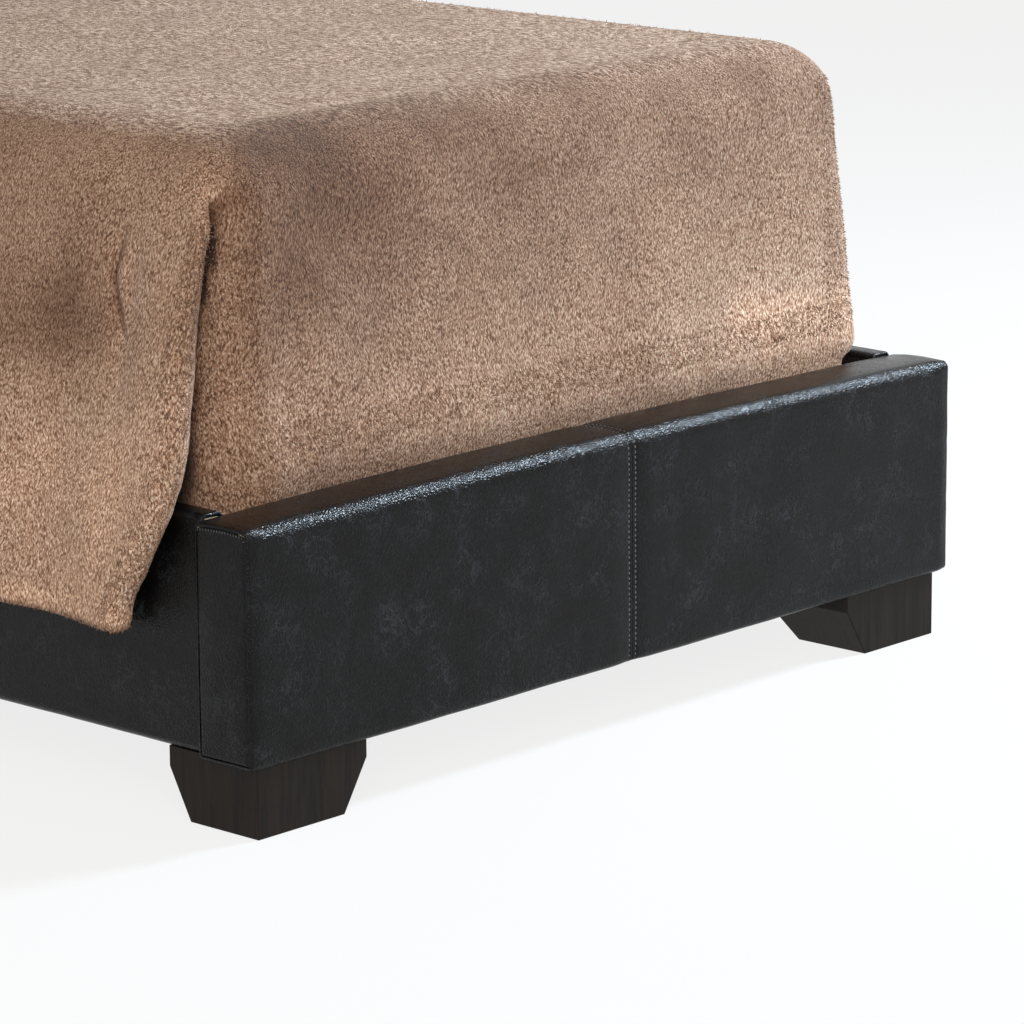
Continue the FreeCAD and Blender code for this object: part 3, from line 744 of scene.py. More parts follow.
@dataclass
class PaddedBoard:
    """A padded board wrapped in two leather halves, sewn at mid width and to a cap at each end."""
    name: str
    front: float
    height: float
    cloth_back: bool = False
    base: float = 77 * MM
    thick: float = 78 * MM
    half: float = 570 * MM
    crown: float = 6 * MM
    swell: float = 3 * MM
    front_radius: float = 17 * MM
    end_radius: float = 6 * MM      # of the front edge, where it meets the end caps
    edge_radius: float = 5 * MM
    hem: float = 22 * MM
    back_hem: float = 40 * MM
    end_turn: float = 3.2 * MM
    fullness: float = 1.3 * MM
    row_gap: float = 10.6 * MM
    seam_shift: float = 0.0         # of the middle seam, to the right
    stitch_pitch: float = 5.8 * MM
    seam_profile: tuple[tuple[float, float], ...] = (   # way from the middle seam and inset there, in mm
        (0.02, 0.45), (0.35, 0.2), (0.8, 0.05), (1.5, 0.0), (2.6, 0.0), (3.9, 0.1), (5.3, 0.8), (6.7, 0.1),
        (8.5, 0.0), (11.0, 0.0), (14.0, 0.0), (20.0, 0.0))

    @property
    def back(self) -> float:
        """Y of the board's back face."""
        return self.front + self.thick

    @property
    def top(self) -> float:
        """Z of the board's top at its ends."""
        return self.base + self.height

    def arch(self, across: Array) -> Array:
        """Swell of the top from front to back: a parabola over the share of the thickness."""
        return self.swell * 4 * across * (1 - across)

    def section(self) -> tuple[Array, Array]:
        """Closed outline across the board, from the middle of its underside round the front, top and back.

        Returns:
            The outline's points and outward normals, in Y and Z.
        """
        middle = (self.front + self.thick / 2, self.base, 0)
        hems = [(self.back, self.top - self.back_hem, 0), (self.back, self.base + self.back_hem, 0)]
        path = rounded_path([
            middle, (self.front, self.base, self.edge_radius), (self.front, self.top, self.front_radius),
            (self.back, self.top, self.edge_radius), *(hems if self.cloth_back else []),
            (self.back, self.base, self.edge_radius), middle], 14 * MM if self.cloth_back else 9 * MM, 1.6 * MM)
        return path, path_normals(path)

    def raised(self, x: Array, path: Array) -> Array:
        """Height that the padding adds: a parabola over the width, and an arch from front to back on the top.

        Args:
            x: stations across the bed.
            path: the outline.

        Returns:
            The rise at each station and outline point.
        """
        y, z = path.T
        climb = np.clip((z - self.base - self.edge_radius) / (self.height - self.edge_radius - self.front_radius), 0, 1)
        if self.cloth_back:
            low_edge = smooth(self.top - self.back_hem, self.top - self.edge_radius, z)
            climb = np.where(y > self.back - 0.1 * MM, low_edge, climb)
        arch = self.arch((y - self.front) / self.thick) * (climb >= 1)
        return self.crown * (1 - (x[:, None] / self.half) ** 2) * climb + arch

    def stations(self) -> tuple[Array, Array]:
        """Stations from mid width to the end, and how far the leather lies inside the outline at each.

        Returns:
            X and inset of each station. The inset follows the closed seam at mid width and a quarter turn of
            the end's radius at the end.
        """
        seam_x, seam_in = np.array(self.seam_profile).T * MM
        flat = steps((20 * MM, 0), (self.half - self.back_hem, 9 * MM), (self.half - self.hem, 9 * MM),
                     (self.half - self.end_turn, 4.7 * MM))[1:]
        ahead, drawn = quarter(self.end_turn, 6)
        groove_x = np.array([self.half + 0.2 * MM, self.half - 1.1 * MM])
        groove_in = np.array([self.end_turn + 0.45 * MM, self.end_turn + 0.7 * MM])
        return (np.concatenate([seam_x, flat, self.half + 0.7 * MM - self.end_turn + ahead, groove_x]),
                np.concatenate([seam_in, np.zeros(len(flat)), drawn, groove_in]))

    def padding(self, x: Array, path: Array, seed: int) -> Array:
        """Unevenness of the padding: soft ripples, fullness between seams and small draws at the seams.

        Args:
            x: stations across the bed.
            path: the outline.
            seed: picks the ripples.

        Returns:
            How far each point lies outside the outline.
        """
        grid_x, grid_s = np.meshgrid(x, way_along(path), indexing="ij")
        to_seam = np.abs(grid_x)
        to_end = self.half - to_seam
        soft = 0.45 * MM * ripple(grid_x, grid_s, 0.16, seed) + 0.12 * MM * ripple(grid_x, grid_s, 0.05, seed + 1)
        draw = (0.35 * MM * np.exp(-to_end / 0.018) * ripple(grid_s, grid_x * 0.2, 0.019, seed + 2)
                + 0.3 * MM * np.exp(-to_seam / 0.012) * ripple(grid_s, grid_x * 0.2, 0.024, seed + 3))
        full = self.fullness * smooth(0.0, 0.03, to_seam) * np.sin(np.clip(to_end / 0.015, 0, 1) * QUARTER)
        return (soft + full) * (smooth(0.0, 12 * MM, to_end) * 0.8 + 0.2) + draw

    def keep(self, x: Array, path: Array) -> Array:
        """Which quads of the wrap stay: none over the open underside or over the headboard's back cloth.

        Args:
            x: stations across the bed.
            path: the outline.

        Returns:
            Whether each quad stays.
        """
        mid_x = (np.abs(x[1:]) + np.abs(x[:-1]))[:, None] / 2
        y, z = ((path[1:] + path[:-1]) / 2).T
        under = (z < self.base + 1 * MM) & (np.abs(y - self.front - self.thick / 2) < self.thick / 2 - self.hem)
        gone = under & (mid_x < self.half - self.hem)
        if self.cloth_back:
            behind = (y > self.back - 1 * MM) & (z > self.base + self.back_hem) & (z < self.top - self.back_hem)
            gone |= behind & (mid_x < self.half - self.back_hem)
        return ~gone

    def surface(self, side: Side, seed: int) -> tuple[Array, Array, Array]:
        """Points of one leather half, its outward directions and its stations.

        A point is the outline's point, moved in by the inset and out by the padding along the outline's
        normal, and raised by the crown. Towards the ends the front edge's arc is moved out from its centre
        by (R - r) * ((-1, 1) - normal), which leaves an arc of the smaller radius r.

        Args:
            side: the half's side.
            seed: picks the padding's unevenness.

        Returns:
            Points, outward directions and signed stations.
        """
        path, normal = self.section()
        x, inset = self.stations()
        signed = x * side.value
        push = self.padding(signed, path, seed) - inset[:, None]
        y = path[:, 0] + normal[:, 0] * push
        z = path[:, 1] + normal[:, 1] * push + self.raised(signed, path)
        tight = (self.front_radius - self.end_radius) * bell(x[:, None], self.half, 0.022)
        arc = ((path[:, 0] <= self.front + self.front_radius + TINY)
               & (path[:, 1] >= self.top - self.front_radius - TINY))
        shifted = signed + self.seam_shift * (1 - x / self.half) * (x < self.half)
        points = coords(shifted[:, None], y - tight * arc * (1 + normal[:, 0]), z + tight * arc * (1 - normal[:, 1]))
        return points, np.broadcast_to(coords(0.0, *normal.T), points.shape), signed

    def half_cover(self, side: Side, seed: int) -> Piece:
        """One leather half, in place of its node.

        Args:
            side: the half's side.
            seed: picks the padding's unevenness.

        Returns:
            The piece.
        """
        points, outward, signed = self.surface(side, seed)
        faces = grid_faces(*points.shape[:2], keep=self.keep(signed, self.section()[0]))
        label = side.name.lower()
        piece = make_piece(f"{self.name}_wrap_{label}", points, faces, "black_leather", outward,
                           wall=LEATHER_WALL, weld=WELD)
        return settle(piece, f"{self.name}_cover_{label}")

    def cap(self) -> Piece:
        """Both end caps: rows up the board, each from the front edge to the back edge, full in the middle.

        At a height z the row runs between the outline's front and back, whose rounded corners are
        y = r - sqrt(r^2 - d^2) from the face, d being the height into the corner.

        Returns:
            Both caps, as one piece.
        """
        inset = self.end_turn + 0.5 * MM
        low, high = self.base + inset, self.top - inset
        z = steps((low, 0), (low + 5 * MM, 0.8 * MM), (low + 20 * MM, 4 * MM), (high - 24 * MM, 9 * MM),
                  (high - 5 * MM, 2 * MM), (high, 0.8 * MM))

        def drawn(radius: float, end: float, sign: int) -> Array:
            """How far a rounded corner draws the row's end in."""
            into = np.clip(radius - sign * (end - z), 0, radius)
            return radius - np.sqrt(np.maximum(radius ** 2 - into ** 2, 0))

        small = 1.5 * MM
        front = self.front + inset + drawn(self.end_radius - inset, high, 1) + drawn(small, low, -1)
        back = self.back - inset - drawn(small, high, 1) - drawn(small, low, -1)
        across = np.sin(np.linspace(-QUARTER, QUARTER, 27)) / 2 + 0.5
        front, back, row_z = front[:, None], back[:, None], z[:, None]
        y = front + (back - front) * across
        edge = np.minimum(np.minimum(row_z - low, high - row_z), np.minimum(y - front, back - y))
        near, wide = np.clip(edge / (4 * MM), 0, 1), np.clip(edge / (26 * MM), 0, 1)
        dome = 0.62 * np.sqrt(1 - (1 - near) ** 2) + 0.38 * np.sin(wide * QUARTER)
        x = self.half - 1.1 * MM + 2.9 * MM * dome + 0.35 * MM * ripple(y, row_z, 0.07, 7) * dome
        one = coords(x, y, row_z + self.arch(across) * smooth(high - 20 * MM, high, row_z)).reshape(-1, 3)
        faces = grid_faces(*y.shape)
        points, both = joined((one, faces), (one * np.array([-1, 1, 1]), faces[:, ::-1]))
        outward = np.sign(points[:, :1]) * np.array([1.0, 0, 0])
        piece = make_piece(f"{self.name}_end_cap_leather", points, both, "black_leather", outward, wall=LEATHER_WALL)
        return settle(piece, f"{self.name}_end_caps")

    def stitches(self, seed: int) -> Piece:
        """Two rows of beaded stitches beside the seam, from the front hem over the top to the back.

        Args:
            seed: picks the padding's unevenness.

        Returns:
            The stitches, as one piece.
        """
        path, _ = self.section()
        shown = (path[:, 1] > self.base + 0.5 * MM) | (path[:, 0] < self.front + self.hem)
        y, z = path[shown].T
        reach = self.back_hem - 4 * MM if self.cloth_back else 60 * MM
        last = int(np.argmax((y > self.back - 1 * MM) & (z < self.top - reach)))
        rows = []
        for side in Side:
            points, outward, signed = self.surface(side, seed)
            column = int(np.argmin(np.abs(np.abs(signed) - self.row_gap / 2)))
            line, out = points[column][shown][:last], outward[column][shown][:last]
            centres, along = spaced(line, self.stitch_pitch)
            run, at = line[:, 2] + line[:, 1], centres[:, 2] + centres[:, 1]
            up = np.stack([np.interp(at, run, part) for part in out.T], axis=1)
            up = unit(up - np.einsum("ij,ij->i", up, along)[:, None] * along)
            rows.append(beads(centres + up * 0.3 * MM, along, up, 3.7 * MM, 1.0 * MM))
        return settle(make_piece(f"{self.name}_seam_stitches", *joined(*rows), "seam_thread"))

    def cap_stitches(self) -> Piece:
        """Short stitches across the cap's seam, just inside its top edge.

        Returns:
            The stitches of both ends, as one piece.
        """
        inset = self.end_turn + 2.6 * MM
        near, far, high = self.front + inset, self.back - inset, self.top - inset
        path = rounded_path([(near, high - 5 * MM, 0), (near, high, 2 * MM), (far, high, 0)], 6 * MM, 2 * MM)
        centres, along = spaced(path, 4.0 * MM)
        y, z = centres.T
        z = z + 0.8 * self.arch((y - self.front) / self.thick)
        sets = []
        for side in Side:
            place = coords(side.value * (self.half + 0.75 * MM), y, z)
            up = np.broadcast_to(np.array([side.value, 0.0, 0.0]), place.shape)
            sets.append(beads(place, coords(0.0, -along[:, 1], along[:, 0]), up, 2.6 * MM, 0.45 * MM))
        return settle(make_piece(f"{self.name}_cap_stitches", *joined(*sets), "cap_thread"))

    def back_cloth(self) -> Piece:
        """Black cloth stretched over the headboard's open back, a little sunk between its edges.

        Returns:
            The cloth.
        """
        low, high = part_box("headboard_back_cloth")
        lap, count = 0.6 * MM, 60
        x, z = (np.linspace(low[axis] - lap, high[axis] + lap, count) for axis in (0, 2))
        grid_x, grid_z = np.meshgrid(x, z, indexing="ij")
        sunk = 0.6 * MM * (1 - (grid_x / x[-1]) ** 8) * (0.4 + 0.3 * ripple(grid_x, grid_z, 0.3, 21))
        points = coords(grid_x, (low[1] + high[1]) / 2 - sunk, grid_z)
        piece = make_piece("headboard_back_lining", points, grid_faces(count, count), "dust_cloth",
                           np.array([0.0, 1.0, 0.0]), flat=coords(grid_x, grid_z), wall=0.8 * MM, wall_side=0.0)
        return settle(piece, "headboard_back_cloth")

    def build(self, seed: int) -> None:
        """Makes the board's leather, caps and stitches, and its back cloth where it has one.

        Args:
            seed: picks the padding's unevenness.
        """
        for side in Side:
            self.half_cover(side, seed)
        self.cap()
        self.stitches(seed)
        self.cap_stitches()
        if self.cloth_back:
            self.back_cloth()


@dataclass
class SideRail:
    """A side rail's leather: a closed section carried along the bed, its ends turned in round the board."""
    side: Side
    inner: float = 527 * MM
    outer: float = 560 * MM
    base: float = 78 * MM
    top: float = 330 * MM
    reach: float = 972.5 * MM
    radius: float = 9 * MM
    slot_width: float = 12 * MM
    end_turn: float = 3 * MM

    def stations(self) -> tuple[Array, Array]:
        """Stations along the bed, and how far the leather lies inside the section at each.

        Returns:
            Y and inset of each station. At both ends the inset follows a quarter turn, with one row tucked in
            behind it.
        """
        tail, tucked = self.reach - 1 * MM, self.end_turn + 2 * MM
        flat = steps((-self.reach + self.end_turn, 0), (-self.reach + 80 * MM, 4 * MM),
                     (self.reach - 80 * MM, 16 * MM), (self.reach - self.end_turn, 4 * MM))
        ahead, drawn = quarter(self.end_turn, 7)
        end = self.reach - self.end_turn + ahead
        return (np.concatenate([[-tail], -end[::-1], flat, end, [tail]]),
                np.concatenate([[tucked], drawn[::-1], np.zeros(len(flat)), drawn, [tucked]]))

    def build(self) -> Piece:
        """Makes the leather of one rail.

        A point is the section's point at (x, z), moved in along its normal by the inset of the station along Y.

        Returns:
            The piece.
        """
        sign, label = self.side.value, self.side.name.lower()
        middle = (self.inner + self.outer) / 2
        slot = (middle, self.base, 0)
        corners = ((self.inner, self.base), (self.inner, self.top), (self.outer, self.top), (self.outer, self.base))
        path = rounded_path([slot, *((x, z, self.radius) for x, z in corners), slot], 9 * MM, 1.8 * MM)
        normal = path_normals(path)
        y, inset = self.stations()
        grid_y, grid_s = np.meshgrid(y, way_along(path), indexing="ij")
        seed = 40 + sign
        soft = 0.5 * MM * ripple(grid_y, grid_s, 0.2, seed) + 0.15 * MM * ripple(grid_y, grid_s, 0.05, seed + 5)
        draw = (0.3 * MM * np.exp(-(self.reach - np.abs(grid_y)) / 0.022)
                * ripple(grid_s, grid_y * 0.25, 0.021, seed + 9))
        push = soft + draw - inset[:, None]
        points = coords(sign * (path[:, 0] + normal[:, 0] * push), grid_y, path[:, 1] + normal[:, 1] * push)
        outward = np.broadcast_to(coords(sign * normal[:, 0], 0.0, normal[:, 1]), points.shape)
        mid_x, mid_z = ((path[1:] + path[:-1]) / 2).T
        open_under = (mid_z < self.base + 1 * MM) & (np.abs(mid_x - middle) < self.slot_width / 2)
        keep = np.broadcast_to(~open_under, (len(y) - 1, len(path) - 1))
        piece = make_piece(f"rail_wrap_{label}", points, grid_faces(*grid_y.shape, keep=keep), "black_leather",
                           outward, wall=LEATHER_WALL, weld=WELD)
        return settle(piece, f"rail_cover_{label}")


# ---------------------------------------------------------------- mattress and foundation

def at_height(plan: Array, z: Array | float) -> Array:
    """Points of a plan with their heights."""
    return coords(plan[..., 0], plan[..., 1], z)


@dataclass
class SoftBox:
    """A box of cloth with rounded upright corners: rings round the bed, one above the other or one inside
    the other. A ring is a rounded rectangle, walked at equal shares of its length."""
    half_x: float
    low_y: float
    high_y: float
    corner: float
    around: int = 420

    @property
    def middle_y(self) -> float:
        """Y of the box's middle."""
        return (self.high_y + self.low_y) / 2

    @property
    def half_y(self) -> float:
        """Half the box's length."""
        return (self.high_y - self.low_y) / 2

    @property
    def run(self) -> Array:
        """Distance round the outermost ring at each place."""
        whole = 4 * (self.half_x - self.corner + self.half_y - self.corner) + FULL_TURN * self.corner
        return np.arange(self.around) / self.around * whole

    def ring(self, inset: Array) -> Array:
        """Points of rings drawn in by insets.

        A point is a corner's centre plus the radius times (cos, sin) of its turn. The centre runs along the
        straight legs and the turn through the corners. The corner's radius shrinks with the inset, down to a
        tenth of itself.

        Args:
            inset: how far each ring is drawn in.

        Returns:
            X and Y for each ring and place round it.
        """
        inset = np.asarray(inset, dtype=float)[:, None]
        a, b = self.half_x - inset, self.half_y - inset
        r = self.corner * (1 - 0.9 * np.clip(inset / self.half_x, 0, 1))
        r = np.minimum(r, np.maximum(a * 0.98, 1e-5))
        legs = [float(leg[0, 0]) for leg in (2 * (a - r), QUARTER * r, 2 * (b - r), QUARTER * r)] * 2
        ends = np.concatenate([[0.0], np.cumsum(legs)])
        at = np.arange(self.around) / self.around * ends[-1]
        side_x = np.interp(at, ends, (-1, 1, 1, 1, 1, -1, -1, -1, -1))
        side_y = np.interp(at, ends, (-1, -1, -1, 1, 1, 1, 1, -1, -1))
        turn = np.interp(at, ends, (-1, -1, 0, 0, 1, 1, 2, 2, 3)) * QUARTER
        return coords(side_x * (a - r) + r * np.cos(turn), side_y * (b - r) + r * np.sin(turn) + self.middle_y)

    def piping(self, z: float, radius: float, name: str, finish: str) -> Piece:
        """A corded edge round the box at a height: a ring of circles of eight points.

        Args:
            z: height of the cord's middle.
            radius: its radius.
            name: the piece's name.
            finish: slot name of its material.

        Returns:
            The cord.
        """
        sides = 8
        turns = np.linspace(0, FULL_TURN, sides + 1)
        points = at_height(self.ring(-radius * 0.5 - radius * np.cos(turns)), (z + radius * np.sin(turns))[:, None])
        centre = at_height(self.ring(np.full(sides + 1, -radius * 0.5)), z)
        flat = coords((np.arange(sides + 1) * radius * 0.8)[:, None], self.run)
        return make_piece(name, points, grid_faces(sides + 1, self.around, loop=True), finish, points - centre,
                          flat=flat, weld=0.02 * MM)


@dataclass
class Mattress:
    """Pillow-top mattress: quilted top, knitted border between two corded edges, cloth underneath."""
    box: SoftBox = field(default_factory=lambda: SoftBox(495 * MM, -946.5 * MM, 958.5 * MM, 67 * MM))
    bottom: float = 440 * MM
    seam: float = 615 * MM
    edge: float = 66 * MM
    quilt: float = 115 * MM
    quilt_depth: float = 9 * MM
    row_pitch: float = 32 * MM      # of the border's quilting
    row_wave: float = 110 * MM      # length of its waves
    row_depth: float = 2.2 * MM
    wall: float = 3 * MM

    def pillow_top(self) -> Piece:
        """Quilted top: rings up a rounded edge, then drawn in over the top.

        The height over the edge is sqrt(e^2 - (e - d)^2), d being the way in. Quilting lowers the top by
        depth * (1 - |sin(u)sin(v)|^0.45), u and v running along the two diagonals.

        Returns:
            The top.
        """
        turn = np.linspace(0, QUARTER, 15)
        inner = steps((self.edge, 0), (self.box.half_x - 3 * MM, 11 * MM))[1:]
        inset = np.concatenate([[3 * MM], self.edge * (1 - np.cos(turn)), inner])
        height = self.seam + 8 * MM + self.edge * np.sin(turn)
        z = np.concatenate([[self.seam - 1 * MM], height, np.full(len(inner), height[-1])])[:, None]
        rings = self.box.ring(inset)
        x, y = rings[..., 0], rings[..., 1]
        u, v = math.pi * (x + y) / self.quilt, math.pi * (x - y) / self.quilt
        sunk = (self.quilt_depth * (1 - np.abs(np.sin(u) * np.sin(v)) ** 0.45)
                * smooth(0.01, 0.05, inset)[:, None])
        piece = make_piece("mattress_quilted_top", at_height(rings, z - sunk),
                           grid_faces(len(inset), self.box.around, loop=True), "quilted_knit",
                           np.array([0.0, 0.0, 1.0]), flat=coords(x, y + z), wall=self.wall)
        close_top(piece, self.seam + 35 * MM)
        return settle(piece, "mattress_pillow_top", body="mattress")

    def border(self) -> Piece:
        """Side wall with rows of wavy machine quilting.

        Returns:
            The side wall.
        """
        z = np.linspace(self.bottom + 4 * MM, self.seam - 2 * MM, 34)[:, None]
        run = self.box.run
        wave = np.sin(FULL_TURN * (z / self.row_pitch + 0.25 * np.sin(FULL_TURN * run / self.row_wave)))
        sunk = self.row_depth * (1 - np.abs(wave) ** 0.6)
        rings = self.box.ring(np.full(len(z), 0.5 * MM))
        from_middle = rings - np.array([0.0, self.box.middle_y])
        reach = np.array([self.box.half_x, self.box.half_y]) - self.box.corner
        away = unit(from_middle - np.clip(from_middle, -reach, reach))
        piece = make_piece("mattress_side_wall", at_height(rings - away * sunk[..., None], z),
                           grid_faces(len(z), self.box.around, loop=True), "border_knit", at_height(away, 0.0),
                           flat=coords(run, z), wall=self.wall)
        return settle(piece, "mattress_border", body="mattress")

    def build(self) -> None:
        """Makes the mattress's pieces, with a corded edge at its top and bottom seams."""
        self.pillow_top()
        self.border()
        flat_sheet("mattress_underside", self.box, self.bottom + 2.2 * MM, self.wall, "base_cloth",
                   "mattress_base_sheet", "mattress")
        for name, z in (("upper", self.seam), ("lower", self.bottom + 5 * MM)):
            cord = self.box.piping(z, 3.4 * MM, f"mattress_{name}_cord_edge", "border_knit")
            settle(cord, body="mattress")


def flat_sheet(name: str, box: SoftBox, z: float, wall: float, finish: str, node: str, body: str) -> Piece:
    """A flat cloth stretched under the box's plan, with soft unevenness.

    A square is turned to a rounded one: near the corner each axis is shortened by a power of both.

    Args:
        name: the piece's name.
        box: gives the plan.
        z: height of the cloth's middle.
        wall: its thickness.
        finish: its slot.
        node: the node that it replaces.
        body: the body that it rides on.

    Returns:
        The piece.
    """
    rows, columns, edge, cut_in = 46, 80, 1.5 * MM, 0.2929      # the last is 1 - sqrt(1/2)
    u, v = np.meshgrid(np.linspace(-1, 1, rows), np.linspace(-1, 1, columns), indexing="ij")
    cut = box.corner * cut_in * np.abs(u * v) ** 9
    x = u * (box.half_x - edge) * (1 - cut / box.half_x)
    y = box.middle_y + v * (box.half_y - edge) * (1 - cut / box.half_y)
    points = coords(x, y, z + 0.3 * MM * ripple(x, y, 0.25, 61))
    piece = make_piece(name, points, grid_faces(rows, columns), finish, np.array([0.0, 0.0, -1.0]),
                       flat=coords(x, y), wall=wall, wall_side=0.0)
    return settle(piece, node, body=body)


@dataclass
class Foundation:
    """Box foundation: a fitted fabric cover, drawn over a slatted frame, with a dust cloth underneath."""
    box: SoftBox = field(default_factory=lambda: SoftBox(485 * MM, -944.5 * MM, 940.5 * MM, 50 * MM))
    low: float = 240 * MM
    high: float = 440 * MM

    def cover(self) -> Piece:
        """Fitted cover: rings from the lower hem up the sides, round the edge and in over the top.

        Returns:
            The cover.
        """
        edge = 10 * MM
        turn = np.linspace(0, QUARTER, 6)
        wall = np.linspace(self.low + 1.5 * MM, self.high - edge, 22)[:-1]
        inner = steps((edge, 0), (self.box.half_x - 3 * MM, 24 * MM))[1:]
        inset = np.concatenate([np.full(len(wall), 0.3 * MM), 0.3 * MM + edge * (1 - np.cos(turn)), inner])
        z = np.concatenate([wall, self.high - edge + edge * np.sin(turn) - 0.2 * MM,
                            np.full(len(inner), self.high - 0.2 * MM)])[:, None]
        run = self.box.run
        pull = 0.8 * MM * np.abs(ripple(run, z, 0.12, 31))
        on_top = inset[:, None] > edge
        points = at_height(self.box.ring(inset), z - pull * on_top)
        points[..., 0] *= 1 - pull * ~on_top / 0.5
        piece = make_piece("foundation_fitted_cover", points, grid_faces(len(z), self.box.around, loop=True),
                           "foundation_fabric", points - np.array([0.0, 0.0, 0.3]),
                           flat=coords(run, z + inset[:, None]), wall=1.6 * MM)
        close_top(piece, self.high - 20 * MM)
        return settle(piece, "foundation_cover", body="foundation")

    def build(self) -> None:
        """Makes the foundation's pieces."""
        low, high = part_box("foundation_dust_cloth")
        flat_sheet("foundation_under_cloth", SoftBox(high[0], low[1], high[1], 50 * MM), (low[2] + high[2]) / 2,
                   0.8 * MM, "dust_cloth", "foundation_dust_cloth", "foundation")
        self.cover()


# ---------------------------------------------------------------- blanket

@dataclass
class Blanket:
    """Plush blanket laid over the mattress: tucked behind the footboard, hanging outside both rails, with a
    pleat at each foot corner whose front fold is the drape's edge. Its flat coordinates are p across the bed
    and q towards the foot, both in metres; on the top they are X and -Y. The places worked out below hold the
    way out to the side, the way towards the foot, and the height."""
    half: float = 503.5 * MM        # middle of the cloth on the mattress's side
    foot: float = 955.0 * MM        # and at its foot end
    top: float = 698.5 * MM
    head_end: float = 880.0 * MM
    thick: float = 8 * MM
    side_radius: float = 84 * MM
    foot_radius: float = 76 * MM
    tuck: float = 354 * MM          # upright run at the foot, below the rounded edge
    run: float = 318 * MM           # sloping run of the drape
    bend: float = 220 * MM
    drop: float = 74 * MM
    flare: float = 13.6             # degrees from upright
    fold_flare: float = 1.5         # more than that, at the front fold
    pleat: float = 170 * MM         # cloth folded in at each corner
    fold_line: tuple[tuple[float, float], ...] = (      # height and way towards the foot of the near front fold
        (0.195, 0.896), (0.205, 0.9046), (0.217, 0.9075), (0.234, 0.9119), (0.248, 0.9205), (0.263, 0.9328),
        (0.283, 0.9425), (0.301, 0.9511), (0.328, 0.9623), (0.359, 0.9693), (0.374, 0.9706), (0.399, 0.9709),
        (0.428, 0.9674), (0.457, 0.9640), (0.487, 0.9604), (0.525, 0.9546), (0.555, 0.9527), (0.585, 0.9506),
        (0.616, 0.9513), (0.650, 0.9465))
    wrinkle_line: tuple[tuple[float, float], ...] = (   # way down the drape and Y of its short upright wrinkle
        (0.140, -0.824), (0.165, -0.818), (0.193, -0.811), (0.2175, -0.820), (0.240, -0.832), (0.260, -0.845))

    @property
    def edge_p(self) -> float:
        """Where the rounding starts at the side."""
        return self.half - self.side_radius

    @property
    def edge_q(self) -> float:
        """Where the rounding starts at the foot."""
        return self.foot - self.foot_radius

    @property
    def drape_length(self) -> float:
        """Way along the cloth from the start of the rounding to the hem."""
        slope = math.radians(self.flare)
        return self.side_radius * (QUARTER - slope) + self.run + self.bend * slope + self.drop

    @property
    def foot_length(self) -> float:
        """Way along the cloth from the start of the rounding to the tucked edge."""
        return self.foot_radius * QUARTER + self.tuck

    def slope_at(self, y: Array, sign: Array) -> Array:
        """Slope of the drape along the bed, in radians: soft folds, steeper at the front fold.

        Args:
            y: place along the bed.
            sign: side of the bed, -1 or 1.

        Returns:
            The slope at each point.
        """
        wave = np.where(sign < 0, np.sin(FULL_TURN * (y + 0.985) / 0.305 + 0.4),
                        np.sin(FULL_TURN * (y + 0.9) / 0.295))
        near = bell(y, -0.955, 0.06)
        return np.radians(self.flare + 1.1 * wave * (1 - near) + self.fold_flare * near)

    def hang(self, depth: Array, slope: Array | float) -> tuple[Array, Array, Array]:
        """Side profile: a rounded edge, a sloping run, a bend to upright and a straight drop.

        Args:
            depth: way along the cloth from the start of the rounding.
            slope: slope of the run from upright, in radians.

        Returns:
            X, Z and the angle of the outward normal above level.
        """
        r, bend = self.side_radius, self.bend
        first = r * (QUARTER - slope)
        theta = np.clip(depth, 0, first) / r
        line = np.clip(depth - first, 0, self.run)
        turn = np.clip((depth - first - self.run) / bend, 0, slope)
        straight = np.maximum(depth - first - self.run - bend * slope, 0)
        x = self.edge_p + r * np.sin(theta) + np.sin(slope) * line + bend * (np.cos(slope - turn) - np.cos(slope))
        z = (self.top - r + r * np.cos(theta) - np.cos(slope) * line
             - bend * (np.sin(slope) - np.sin(slope - turn)) - straight)
        return x, z, np.where(depth < first, QUARTER - theta, slope - turn)

    def fold_radius(self, depth: Array) -> Array:
        """Radius of the pleat's folds, which opens downwards."""
        return (5.5 + 6.5 * smooth(0.12, 0.36, depth)) * MM

    def fold_reach(self, depth: Array, sign: Array) -> Array:
        """How far the drape's front fold lies in front of the start of the foot's rounding, by depth.

        The outline seen from the foot lies outside the fold's middle line, by the fold's roundness and the
        cloth's own thickness.

        Args:
            depth: way down the drape.
            sign: side of the bed, -1 or 1.

        Returns:
            Way towards the foot.
        """
        heights, places = zip(*self.fold_line)
        _, z, _ = self.hang(depth, math.radians(self.flare + self.fold_flare))
        near = np.interp(z, heights, places) - self.edge_q - 9.1 * MM - 1.285 * self.fold_radius(depth)
        return np.where(sign < 0, near, -6 * MM + 3 * MM * np.sin(depth * 14))

    def turn_over(self, along: Array, depth: Array, sign: Array) -> tuple[Array, Array, Array]:
        """The front fold: the drape goes on to its start, turns over by half a turn and runs back.

        Args:
            along: way along the cloth from the start of the foot's rounding.
            depth: way down the drape.
            sign: side of the bed.

        Returns:
            Way towards the foot, way inwards, and the start of the fold.
        """
        radius = self.fold_radius(depth)
        start = self.fold_reach(depth, sign) - radius
        past = along - start
        turn = np.clip(past / radius, 0, math.pi)
        forward = np.where(past < 0, along, start + radius * np.sin(turn)) - np.maximum(past - math.pi * radius, 0)
        return forward, radius * (1 - np.cos(turn)), start

    def wrinkle(self, depth: Array, y: Array) -> tuple[Array, Array]:
        """The drape's short upright wrinkle: how far a point lies behind its line, and how strong it is there.

        Args:
            depth: way down the drape.
            y: place along the bed.

        Returns:
            Distance behind the line, and a share.
        """
        line = np.interp(depth, *zip(*self.wrinkle_line))
        return y - line, window(depth, 0.13, 0.185, 0.24, 0.275)

